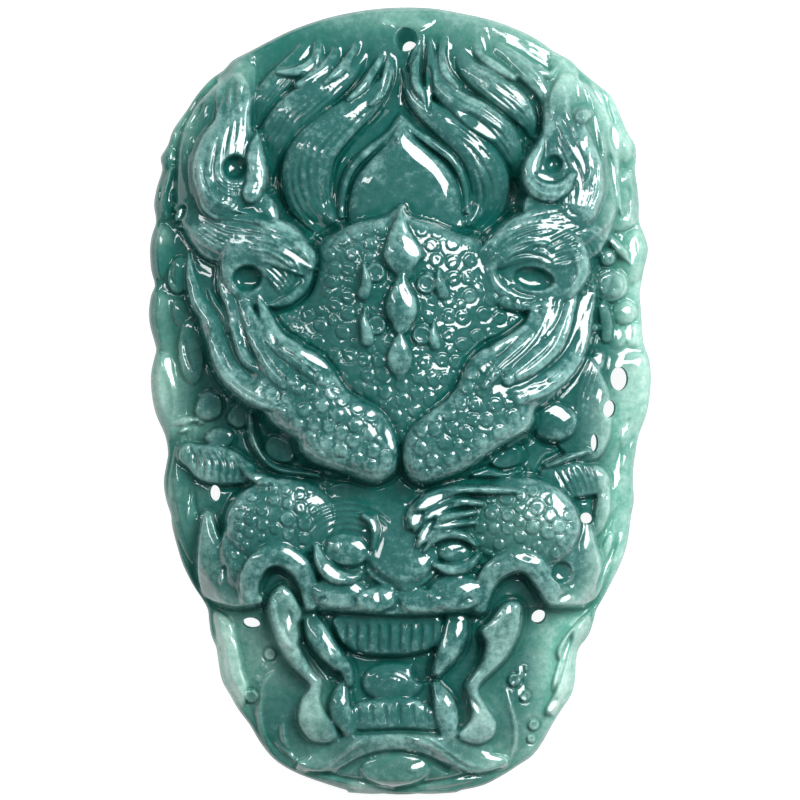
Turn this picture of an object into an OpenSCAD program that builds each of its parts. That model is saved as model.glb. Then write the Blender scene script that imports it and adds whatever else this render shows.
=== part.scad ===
// Carved stone pendant: an oval plaque with a beast mask in high relief, drilled to hang.
// Millimetres. It lies on its flat back: X to the right, Y up the face, Z out of the face.

/* [Plaque] */
// Height of the plaque, along Y
plaque_h = 62.9; // [50:0.1:75]
// Width of the plaque at its widest, along X
plaque_w = 40.2; // [32:0.1:48]
// Height of the highest carving over the back
plaque_t = 15; // [12:0.5:18]
// Thickness at the rim
rim_t = 4.4; // [3.5:0.1:6]
// Thickness of the ground that the carving stands on
ground_t = 7; // [5:0.1:9]
// Bevel round the back
back_bevel = 0.6; // [0.2:0.1:1]
// Radius of the edge round the face
edge_r = 1.2; // [0.5:0.1:2]

/* [Hanging hole] */
// Radius of the drilled hole
hole_r = 0.9; // [0.6:0.05:1.2]
// Distance of the hole to the right of the middle
hole_x = 0.45; // [-2:0.05:2]
// Distance of the hole below the top edge
hole_drop = 2.85; // [2.4:0.05:4]
// Radius of the level seat round the hole
seat_r = 1.9; // [1.5:0.1:2.4]
// Thickness at the seat
seat_t = 4.8; // [4:0.1:6]

/* [Carving] */
// How full a carved form is: 2 is round, 4 is flat on top
fullness = 2.5; // [2:0.5:4]
// How far a carved form spreads past the width in its row
spread = 1.2; // [1:0.05:1.4]

/* [Mesh] */
// Number of sections from bottom to top
sections = 76; // [40:1:90]
// Number of steps across a section
steps = 52; // [30:1:60]

/* [Hidden] */

// Half sizes, and the sizes that the tables below were written for
half_h = plaque_h / 2;
half_w = plaque_w / 2;
table_half_h = 31.45;
table_half_w = 20.1;
table_top = 15;
height_scale = plaque_t / table_top;

// How much closer the sections and steps lie near the edges
crowding = 0.25;
// Part of the way from a rim to the middle over which the ground rises, as powers
side_power = 4;
end_power = 8;
// How far cutters reach past the stone
past = 1;

// Outline, bottom to top: height on the face, left edge, right edge
Y = 0;
LEFT = 1;
RIGHT = 2;
outline = [
    [-31.45, -3.4, 3.4], [-31.2, -4.4, 4.9], [-30.8, -5.6, 6.7], [-30, -7.9, 8.2],
    [-29.2, -9.4, 9.5], [-28.4, -10.4, 10.6], [-27.2, -11.3, 11.5], [-25.2, -12.6, 12.6],
    [-23.6, -13.6, 13.7], [-22, -14.4, 14.1], [-20.4, -14.6, 14.2], [-19.2, -15, 14.8],
    [-17.6, -15.3, 15.5], [-16.4, -15.5, 15.9], [-14.4, -16.8, 17], [-12, -17.8, 18],
    [-9.2, -18.3, 18.5], [-6.8, -18.9, 18.7], [-4.2, -18.5, 18.8], [-2, -19.2, 19.4],
    [1.6, -19.9, 20.1], [4.2, -19.5, 19.6], [7.2, -20.1, 19.3], [9.2, -19.6, 19.2],
    [12, -20, 19.8], [14.4, -19.5, 19.1], [16, -19.7, 19.1], [18.4, -19, 18.8],
    [20.8, -18.5, 18.6], [23.2, -17, 17.4], [25.2, -15.6, 15.8], [27.2, -13.4, 13.6],
    [28.4, -11, 11.7], [29.6, -8.6, 9.5], [30.4, -6.4, 7.3], [31, -3.8, 4.5],
    [31.45, -1.2, 2.2]];

// A carved limb runs from one point to another, and its half width and height change along it:
// start x, start y, end x, end y, start half width, end half width, start height, end height
X1 = 0;
Y1 = 1;
X2 = 2;
Y2 = 3;
W1 = 4;
W2 = 5;
Z1 = 6;
Z2 = 7;

// Raised limbs on the middle line
middle_limbs = [
    // dome between the hair locks, with its peak
    [0.2, 17.4, 0.1, 18.8, 5, 4.6, 10, 10.2],
    [0.1, 18.8, 0, 22.4, 4.2, 1, 10, 9],
    // forehead shield and its keel
    [0, 11, 0, 5, 6.6, 6.4, 12.4, 13],
    [0, 5, 0, -1, 5.6, 3.2, 13, 12.6],
    [0, 14.6, 0, 10.4, 1, 2.2, 12.6, 13.6],
    [0, 10.2, 0, 2.6, 1.2, 1.8, 13.4, 13.8],
    // brow between the eyes, and the nose
    [0, -8, 0, -11, 5, 3.4, 10, 11.6],
    [0, -11, 0, -13.6, 2.4, 2.8, 12.2, 13],
    [-2.2, -14.8, 2.2, -14.8, 1.9, 1.9, 12, 12],
    // upper lip
    [-2.4, -16.4, 2.4, -16.4, 1.4, 1.4, 10.8, 10.8],
    // upper teeth, tongue and lower teeth
    [-3.8, -19, 2, -19, 1.7, 1.7, 9.2, 9.2],
    [-0.9, -23, 0.4, -23, 2.2, 2.2, 8.6, 8.6],
    [-3.4, -25.2, 3, -25.2, 1.7, 1.7, 9.6, 9.6],
    // chin knob
    [-1.2, -29.2, 0.6, -29.2, 2, 2, 11, 11]];

// Raised limbs on the right, which are mirrored to the left
paired_limbs = [
    // hair locks, from the middle outward
    [1.4, 28, 1.8, 24.4, 0.9, 1.4, 6.4, 8.4],
    [1.8, 24.4, 4.6, 19.6, 1.4, 1.5, 8.4, 8.8],
    [3.4, 28.4, 4.4, 25, 1, 1.5, 6.6, 8.6],
    [4.4, 25, 7, 19.6, 1.5, 1.6, 8.6, 8.2],
    [5.8, 28.8, 7.4, 25.6, 1, 1.5, 6.4, 8.4],
    [7.4, 25.6, 9, 20.4, 1.5, 1.6, 8.4, 7.4],
    [8.2, 28.4, 9.8, 24, 0.9, 1.3, 6, 7.6],
    // horn: root, trunk, upper shaft and tip
    [6.6, 11.4, 10.6, 12.6, 2.4, 2.8, 11.4, 12],
    [10.6, 12.6, 14.2, 15.2, 3, 3, 12, 11.6],
    [14.2, 15.2, 14.2, 19.4, 2.8, 2.2, 11.6, 11],
    [11.4, 18.6, 11.2, 20.6, 1.6, 0.8, 10.6, 10],
    [14, 19.4, 13.2, 24, 2.2, 1.5, 11, 10],
    [13.2, 24, 12.6, 27.4, 1.5, 0.6, 10, 8.4],
    // lower horn root that curls round its pit
    [13.8, 11.6, 13.4, 7.6, 2, 1.4, 10, 9.6],
    [12, 7, 9.8, 4.8, 1.5, 1.6, 10.6, 11],
    // leaves along the edge, top to bottom
    [16.6, 22.6, 17.2, 19.4, 1.6, 1.8, 7, 6.8],
    [17.4, 17.4, 17.4, 14.6, 1.8, 1.8, 6.6, 6.4],
    [17.9, 12.4, 17.7, 10, 1.8, 1.6, 6.4, 6.4],
    [17.9, 8, 17.7, 5.4, 1.6, 1.6, 6.2, 6.2],
    [18.2, 2.8, 18, -0.4, 1.7, 1.7, 6, 6],
    [16.8, -3, 17.4, -6, 1.8, 1.6, 6, 6],
    [17, -8, 16.8, -12, 1.6, 1.4, 6.2, 6.2],
    // side spikes of the shield
    [2.4, 8.2, 3.2, 10.4, 1.2, 0.5, 13, 12.4],
    [2.6, 4.4, 2.9, 6.2, 1.2, 0.5, 13.4, 12.8],
    // outer field of the shield
    [5.6, 9.6, 8.2, 6.4, 2.6, 2.2, 11.6, 11.2],
    // strands beside the brow plate, then the plate itself
    [14.6, 6.6, 13.4, 2, 1.6, 1.8, 10, 11],
    [12.2, 5.6, 11, 1.6, 1.6, 2.4, 10.6, 12],
    [9.8, 1.6, 6, -1.6, 3, 3.4, 13.2, 14.6],
    [6, -1.6, 2.4, -3.8, 3.4, 2.6, 14.8, 14.6],
    // temple curls, ringed cheek patch and eye
    [13.4, -1.8, 12.6, -2, 2, 1.6, 8.6, 8.6],
    [14.6, -5.4, 14.6, -8, 1.8, 1.6, 8.4, 8.2],
    [8, -9, 11, -9.6, 2.6, 2.8, 11, 10.4],
    [12.4, -11, 12.6, -13.6, 1.8, 1.6, 9, 8.6],
    [4.9, -11.8, 4.7, -12.2, 1.7, 1.7, 11, 11],
    // brow ridge over the eye, and the cheek beside the nose
    [1.8, -9.4, 5, -8.2, 1.2, 1.4, 11.6, 11.4],
    [3.4, -15, 5.6, -15.2, 1.9, 1.9, 11.6, 11.2],
    // moustache loop
    [7.3, -15.6, 8, -13.2, 0.9, 1, 10.8, 11.4],
    [8, -13.2, 9.8, -12.2, 1, 1, 11.4, 11.6],
    [9.8, -12.2, 11.6, -13.8, 1, 1, 11.6, 11],
    [11.6, -13.8, 12.6, -15.6, 1, 1, 11, 9.6],
    // ear curl at the edge
    [14.8, -10.6, 15, -14, 1.2, 1.4, 8, 8.4],
    [15, -14, 13, -15.6, 1.4, 1.2, 8.4, 8.4],
    // inner fang
    [5.4, -18.2, 4.8, -20.4, 1.2, 1.1, 10, 10.4],
    [4.8, -20.4, 3.6, -22.4, 1, 0.6, 10.4, 9.8],
    [4, -23.4, 4.3, -25.4, 1, 1.2, 10, 10.2],
    // outer fang, wavy
    [9.2, -16, 8.6, -19.2, 1.5, 1.3, 11.6, 11.8],
    [8.6, -19.2, 6.2, -22.4, 1.2, 0.7, 11.8, 11.2],
    [6.2, -22.4, 6.6, -26, 0.7, 1.8, 11.2, 10.8],
    // jaw plate and its edge
    [12, -18.4, 11.4, -22.6, 2.2, 1.8, 7.6, 7.6],
    [11.4, -22.6, 10.4, -27, 1.6, 1.4, 7.6, 7.2],
    [13.6, -19, 12.8, -23.6, 1, 1, 5.8, 5.8],
    // lower lip and its corner
    [0, -27.2, 3.6, -28.2, 0.9, 0.9, 10.6, 10.4],
    [3.6, -28.2, 7.6, -28.6, 0.9, 1.2, 10.4, 9.6],
    [7.6, -28.6, 9.4, -25.6, 1.2, 1, 9.4, 8.4]];

// Sunk limbs on the middle line: the mouth
middle_hollows = [
    [-3.6, -21.4, 2, -21.4, 1.4, 1.4, 5.8, 5.8],
    [0, -17.7, 0, -17.8, 0.5, 0.5, 9, 9]];

// Sunk limbs on the right, which are mirrored to the left
paired_hollows = [
    // deep recess between the hair and the horn
    [8.6, 16, 9.6, 20.4, 2, 1.3, 5.4, 6],
    [5.8, 14.6, 8.6, 15.8, 1.2, 1.8, 6, 5.6],
    // drilled pits of the horn
    [12.6, 18.6, 12.6, 18.7, 0.9, 0.9, 7, 7],
    [11.4, 9.6, 11.7, 9.7, 1.2, 1.2, 7, 7],
    // cleft under the horn's outer root
    [15.6, 11, 15.4, 8.6, 0.8, 0.8, 6.4, 6.4],
    [16, 4.6, 15.8, 2.2, 0.9, 0.9, 6, 6],
    // shadow gap below the brow plates
    [11.8, -3.6, 9.4, -5.4, 1.3, 1.3, 6.6, 6.8],
    [8, -6.2, 3, -7, 0.8, 0.7, 7.6, 8],
    // hollow under the moustache loop
    [9.5, -14.4, 9.5, -15, 0.9, 0.8, 7.4, 8],
    // channels beside the fangs
    [6.7, -18.6, 6.6, -20.6, 0.7, 0.8, 6.4, 6.4],
    [5.2, -22.6, 5.6, -25, 0.7, 0.6, 6.8, 7],
    [9.8, -20.4, 8.4, -23, 0.7, 1.1, 6.6, 6.6],
    [8.4, -23, 8.8, -26, 1.1, 0.8, 6.6, 7]];

// Pierced holes: x, y, long size, wide size, turn of the long size from X
LONG = 2;
WIDE = 3;
TURN = 4;
piercings = [
    [17.4, 1.7, 1.9, 1.4, 90],
    [16.6, -0.7, 1.4, 1, 80],
    [15.4, -3.4, 1.4, 0.6, 90],
    [14.8, -9.4, 1.1, 0.9, -30],
    [-14.7, -7.4, 1.3, 0.9, 90],
    [-11.8, -17.7, 1.4, 0.9, -5],
    [11, -17.2, 1.2, 1.1, 40]];

// Straight mix of two values
function mix(a, b, t) = a + (b - a) * t;

// A value held between 0 and 1
function unit(t) = min(1, max(0, t));

// Last row of the outline that lies below a height
function row_below(y, i = 0) =
    i >= len(outline) - 2 || outline[i + 1][Y] >= y ? i : row_below(y, i + 1);

// Edge of the plaque at a height, in one column of the outline
function edge_at(y, column) =
    let (table_y = y * table_half_h / half_h)
    let (i = row_below(table_y))
    let (a = outline[i])
    let (b = outline[i + 1])
    mix(a[column], b[column], unit((table_y - a[Y]) / (b[Y] - a[Y]))) * half_w / table_half_w;

// Place between -1 and 1 that lies closer together near both ends
function crowded(t) = t * (1 + crowding - crowding * t * t);

// Share of a limb's height that a point takes, by its distance in half widths
function swell(r) = r < 1 ? pow(1 - pow(r, fullness), 2) : 0;

// The limb's pull on a point: how far it lifts or lowers the ground there
function pull(p, ground, limb) =
    let (start = [limb[X1], limb[Y1]])
    let (run = [limb[X2], limb[Y2]] - start)
    let (t = unit((p - start) * run / (run * run)))
    let (r = norm(p - start - run * t) / mix(limb[W1], limb[W2], t) / spread)
    r < 1 ? swell(r) * (mix(limb[Z1], limb[Z2], t) - ground) : 0;

// A point folded onto the right half
function folded(p) = [abs(p[0]), p[1]];

// Height after the raised limbs, then after the hollows
function raised(p, ground) = ground + max([
    0,
    for (limb = middle_limbs) pull(p, ground, limb),
    for (limb = paired_limbs) pull(folded(p), ground, limb)]);
function hollowed(p, ground) = ground + min([
    0,
    for (limb = middle_hollows) pull(p, ground, limb),
    for (limb = paired_hollows) pull(folded(p), ground, limb)]);

// Ground of the carving: the rim's thickness at the edge, thicker inward
function ground_at(side, end) =
    mix(rim_t, ground_t, (1 - pow(abs(side), side_power)) * (1 - pow(abs(end), end_power)));

// Level seat round the hanging hole
hole_y = half_h - hole_drop;
function seated(p, z) = mix(seat_t, z, unit(norm(p - [hole_x, hole_y]) - seat_r));

// Rounding of the face's edge: 0 at the edge, 1 from one radius inward
function rounded(side, end) =
    let (inward = min((1 - abs(side)) * half_w, (1 - abs(end)) * half_h))
    let (left_over = 1 - unit(inward / edge_r))
    sqrt(1 - left_over * left_over);

// Height of the face at a point; side and end are its places from -1 to 1 across and up
function face_z(x, y, side, end) =
    let (p = [x / half_w * table_half_w, y / half_h * table_half_h])
    let (carved = hollowed(p, raised(p, ground_at(side, end))))
    seated([x, y], mix(rim_t - edge_r, carved, rounded(side, end)) * height_scale);

// One closed section of the plaque: the face from left to right, then the bevelled back
function section(k) =
    let (end = crowded(2 * k / sections - 1))
    let (y = half_h * end)
    let (left = edge_at(y, LEFT))
    let (right = edge_at(y, RIGHT))
    [
        [left + back_bevel, y, 0],
        [left, y, back_bevel],
        for (j = [0 : steps])
            let (side = crowded(2 * j / steps - 1))
            let (x = mix(left, right, (side + 1) / 2))
            [x, y, face_z(x, y, side, end)],
        [right, y, back_bevel],
        [right - back_bevel, y, 0]
    ];

// The carved stone before drilling: its sections joined in order, closed at both ends
module carved_stone() {
    loop = steps + 5;
    points = [for (k = [0 : sections]) each section(k)];
    // Each patch is folded along its more level diagonal
    skin = [
        for (k = [0 : sections - 1], j = [0 : loop - 1])
            let (a = k * loop + j)
            let (b = k * loop + (j + 1) % loop)
            let (c = a + loop)
            let (d = b + loop)
            each abs(points[a][2] - points[d][2]) < abs(points[b][2] - points[c][2])
                ? [[a, c, d], [a, d, b]]
                : [[a, c, b], [b, c, d]]
    ];
    last = sections * loop;
    ends = [
        for (j = [1 : loop - 2])
            each [[0, j, j + 1], [last, last + j + 1, last + j]]
    ];
    polyhedron(points = points, faces = concat(skin, ends));
}

// A round-ended hole straight through the stone
module pierced(long, wide, turn) {
    reach = (long - wide) / 2;
    depth = plaque_t + 2 * past;
    rotate(turn) {
        for (side = [-1, 1])
            translate([side * reach, 0, -past])
                cylinder(r = wide / 2, h = depth, $fn = 32);
        translate([-reach, -wide / 2, -past])
            cube([2 * reach, wide, depth]);
    }
}

// The pendant: the carved stone with its hanging hole and its pierced holes
module carved_pendant() {
    color([0.31, 0.50, 0.48])
        difference() {
            carved_stone();
            translate([hole_x, hole_y, -past])
                cylinder(r = hole_r, h = seat_t + 2 * past, $fn = 48);
            for (hole = piercings)
                translate([hole[0], hole[1], 0])
                    pierced(hole[LONG], hole[WIDE], hole[TURN]);
        }
}

carved_pendant();
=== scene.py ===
"""Carved jade pendant: the face is carved as a height over a fine grid, then becomes one closed mesh.

The carving works in millimetres in the frame of the part: X to the right, Y up the face, Z out of the face.
"""

import math

import bmesh
import bpy
import numpy as np
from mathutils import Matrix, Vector

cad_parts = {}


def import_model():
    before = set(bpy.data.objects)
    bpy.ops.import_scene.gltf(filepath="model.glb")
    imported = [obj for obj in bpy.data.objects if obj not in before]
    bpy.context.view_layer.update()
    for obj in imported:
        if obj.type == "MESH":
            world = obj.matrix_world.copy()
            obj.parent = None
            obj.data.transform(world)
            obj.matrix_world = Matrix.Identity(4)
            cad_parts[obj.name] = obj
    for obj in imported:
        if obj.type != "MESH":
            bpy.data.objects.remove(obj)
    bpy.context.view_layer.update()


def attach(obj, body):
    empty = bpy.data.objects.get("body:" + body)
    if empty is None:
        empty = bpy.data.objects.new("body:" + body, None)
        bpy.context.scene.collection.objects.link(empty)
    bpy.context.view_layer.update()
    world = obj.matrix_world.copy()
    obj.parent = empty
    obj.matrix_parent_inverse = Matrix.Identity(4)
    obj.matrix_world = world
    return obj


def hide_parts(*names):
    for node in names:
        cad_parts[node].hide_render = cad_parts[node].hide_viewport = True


# The carving

REACH_X = 21
REACH_Y = 32.6
RIM_Z = 6.3  # height of the face at the rim
GROUND_Z = 7  # height of the ground inside the rim
GROUND_IN = 3.4  # distance from the rim over which the ground rises
OUTLINE_COARSE = 4  # the distance from the rim is measured on a grid this much coarser
EDGE_Z = 5.4  # height of the very edge
EDGE_RISE = 0.8  # rise of the rim's rounding
EDGE_IN = 0.3  # width of the rim's rounding
EDGE_SLOPE = 2.2  # how steeply forms may rise inside the rounding
EDGE_BLEND = 0.4  # width over which they run into it
FADE_IN = (3.6, 5.2)  # distance from the rim over which forms reach full height, at the sides and the ends
FADE_LEAST = 0.3  # part of their height that forms keep at the rim
ENDS_FROM = 22  # distance up or down the face where its ends begin
ENDS_OVER = 6  # distance from there to where it is all end
LARGE = 1  # size of the forms that are lowered towards the rim
TRENCH_WIDE = 2  # trenches much narrower than this are filled
FINE_DETAIL = 0.2  # width of the detail that stays when a trench is filled
TRENCH_DEEP = 0.8  # depth that such trenches keep
TRENCH_BLEND = 0.6  # how softly they are filled
DEEPER = 1.1  # how much deeper the hollows that are kept deep may be
DEEPER_SPAN = 1.3  # how far across they may, in half widths
DEEPER_REACH = 2  # and where that ends
FLAT = (-0.26, -0.22)  # slope of a polished flat, across and up
FLAT_SPAN = 0.12  # how far its slope along its length may differ
FLAT_REACH = 1.3  # how far round its middle it is worked, in half lengths
FLAT_EDGE = 1.2  # where its soft edge ends, in half widths
FLAT_SOFT = 0.3  # width of that edge
FLAT_KEPT = 1.4  # how far the mesh stays fine round it
WALL = 6  # how steeply a form falls away past its edge
THIN = 0.06  # least half width of a limb
ARC_ROWS = 12  # rows of a limb that follows an arc
ARC_END = 0.2  # part of its half width that it keeps at its ends
ARC_TAPER = 3.2  # how fast it gets wider from there
ARC_SINK = 0.5  # how much lower its ends are
LINE_REACH = 4  # how far a line is followed, in widths
TINT_REACH = 2.2  # how far a pale spot is followed, in radii
FLOOR_Z = 3  # no wall is followed below this height
CEILING_Z = 15  # no hollow is followed above this height
TINY = 1e-9
WANDER = (0.12, 2.7, 0.11)  # how far strand lines wander: amount, rate across, rate along
UNEVEN = (0.35, 4.3, 0.23, 1.7)  # how uneven their depth is: amount, rate across, rate along, start
SHARP = 1.6  # how sharp they are
RING_REACH = 1.7  # how far its groove reaches, as a part of its radius
RING_INSET = 0.7  # least distance of a small ring from the outline, as a part of its radius
RING_ROOM = 0.8  # least distance from the larger rings, as a part of its radius
RING_TOP = 0.5  # height of a ring scale's boss, as a part of its rise
RING_LIP = (0.55, 0.72, 0.15)  # its lip: height as a part of its rise, place and width of its radius
RING_CUT = 0.13  # width of the groove round it, as a part of its radius
WAVE_SEED = 7
WAVES = ((0.4, 0.012), (1.1, 0.03))  # slight waves of hand polishing: width and height
GLOW_FROM = -6  # the edge gets paler from here to the right: a painted glow of light coming through the thin stone
GLOW_OVER = 18  # over this distance
GLOW = 0.42  # how pale it gets
GLOW_WIDE = (1.2, 2.4)  # width of the pale edge, from left to right
FINISH = 0.06  # the least detail
OUTLINE = (
    # the stone's outline, bottom to top: height on the face, left edge, right edge
    (-31.45, -3.4, 3.6), (-31.2, -4.3, 4.95), (-30.8, -5.6, 6.7), (-30, -7.9, 8.25), (-29.2, -9.45, 9.5),
    (-28.4, -10.4, 10.65), (-27.2, -11.3, 11.5), (-26, -12, 12.15), (-24.8, -12.9, 12.9),
    (-23.6, -13.6, 13.7), (-22.4, -14.25, 14), (-20.8, -14.55, 14.1), (-19.8, -14.7, 14.35),
    (-18.8, -15.1, 15.1), (-17.6, -15.28, 15.5), (-16.8, -15.36, 15.7), (-16, -15.75, 16.15),
    (-14.8, -16.55, 16.8), (-13.2, -17.35, 17.6), (-11.6, -17.85, 18.15), (-10, -18.25, 18.4),
    (-9.2, -18.32, 18.5), (-8, -18.7, 18.72), (-6.6, -18.9, 18.64), (-5.2, -18.7, 18.7),
    (-4.2, -18.55, 18.85), (-2.8, -18.8, 19.1), (-1.2, -19.5, 19.7), (0.4, -19.85, 20), (2, -19.92, 20.08),
    (3.2, -19.7, 19.95), (4, -19.5, 19.68), (4.8, -19.68, 19.45), (6, -20, 19.36), (7.2, -20.08, 19.28),
    (8.4, -19.9, 19.2), (9.2, -19.6, 19.28), (10.4, -19.9, 19.5), (12, -20, 19.85), (13.2, -19.84, 19.55),
    (14.3, -19.5, 19.12), (15.6, -19.68, 19.12), (17, -19.45, 19), (18.4, -19.02, 18.8),
    (19.4, -19.14, 18.9), (20.4, -18.56, 18.8), (21.6, -18.15, 18.1), (23.2, -17.04, 17.45),
    (24.4, -16.25, 16.8), (25.6, -15.2, 15.35), (26.4, -14.1, 14.4), (27.2, -13.35, 13.6),
    (27.9, -12, 12.3), (28.8, -10.3, 11.05), (29.6, -8.65, 9.5), (30.4, -6.4, 7.3), (31, -3.9, 4.6),
    (31.36, -1, 2.2),
)


def mix(a, b, t):
    return a + (b - a) * t


def eased(t):
    """A smooth step from 0 to 1."""
    t = np.clip(t, 0, 1)
    return t * t * (3 - 2 * t)


def smooth(rows, closed=False, parts=6):
    """The smooth curve through some rows, with all their columns carried along it."""
    p = np.array(rows, float)
    if closed:
        p = np.vstack([p[-1], p, p[:2]])
    else:
        p = np.vstack([2 * p[0] - p[1], p, 2 * p[-1] - p[-2]])
    t = np.linspace(0, 1, parts, endpoint=False)[None, :, None]
    a, b, c, d = (p[k : len(p) - 3 + k, None, :] for k in range(4))
    curve = b + 0.5 * t * (c - a + t * (2 * a - 5 * b + 4 * c - d + t * (3 * (b - c) + d - a)))
    return np.vstack([curve.reshape(-1, p.shape[1]), p[-2]])


def nearest(line, x, y):
    """Distance of each place from a line, its side of it, and the row of the line that it is nearest to."""
    best = np.full(x.shape, np.inf)
    side = np.zeros(x.shape)
    row = np.zeros(x.shape)
    for k in range(len(line) - 1):
        ax, ay = line[k, :2]
        rx, ry = line[k + 1, :2] - line[k, :2]
        t = np.clip(((x - ax) * rx + (y - ay) * ry) / (rx * rx + ry * ry + TINY), 0, 1)
        dx = x - ax - t * rx
        dy = y - ay - t * ry
        away = dx * dx + dy * dy
        closer = away < best
        best[closer] = away[closer]
        side[closer] = np.sign(rx * dy - ry * dx)[closer]
        row[closer] = (k + t)[closer]
    return np.sqrt(best), side, row


def inward(line, x, y):
    """Distance of each place from a closed line, negative outside it."""
    away = nearest(line, x, y)[0]
    inside = np.zeros(x.shape, bool)
    for (ax, ay), (bx, by) in zip(line[:-1, :2], line[1:, :2]):
        if ay != by:
            inside ^= ((ay > y) != (by > y)) & (x < ax + (y - ay) * (bx - ax) / (by - ay))
    return np.where(inside, away, -away)


def smooth_max(a, b, k):
    h = np.clip(0.5 + 0.5 * (b - a) / k, 0, 1)
    return mix(a, b, h) + k * h * (1 - h)


def smooth_min(a, b, k):
    return -smooth_max(-a, -b, k)


def blurred(z, sigma):
    """An array blurred by sigma cells."""
    reach = int(3 * sigma) + 1
    weights = np.exp(-0.5 * (np.arange(-reach, reach + 1) / sigma) ** 2)
    weights /= weights.sum()
    for _ in range(2):
        padded = np.pad(z, ((reach, reach), (0, 0)), mode="edge")
        z = sum(w * padded[k : k + len(z)] for k, w in enumerate(weights)).T
    return z


def dip(u):
    """How far a round form has fallen at u, its place from 0 on its ridge to 1 at its edge."""
    return 1 - np.sqrt(1 - np.clip(u, 0, 1) ** 2)


def outline_line():
    """The stone's outline as a closed line, from the bottom up the right side and down the left."""
    right = [(r, y) for y, _, r in OUTLINE]
    left = [(l, y) for y, l, _ in reversed(OUTLINE)]
    return smooth(right + left, closed=True, parts=3)


def arc(x0, y0, rx, ry, start, end, half, height):
    """Rows of a limb along part of an ellipse, thinner at both ends. Start and end are in degrees."""
    rows = []
    for k in range(ARC_ROWS + 1):
        t = k / ARC_ROWS
        a = math.radians(mix(start, end, t))
        thin = min(1, ARC_END + ARC_TAPER * min(t, 1 - t))
        place = (x0 + rx * math.cos(a), y0 + ry * math.sin(a))
        rows.append((*place, half * thin, height - ARC_SINK * (1 - thin)))
    return rows


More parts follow.
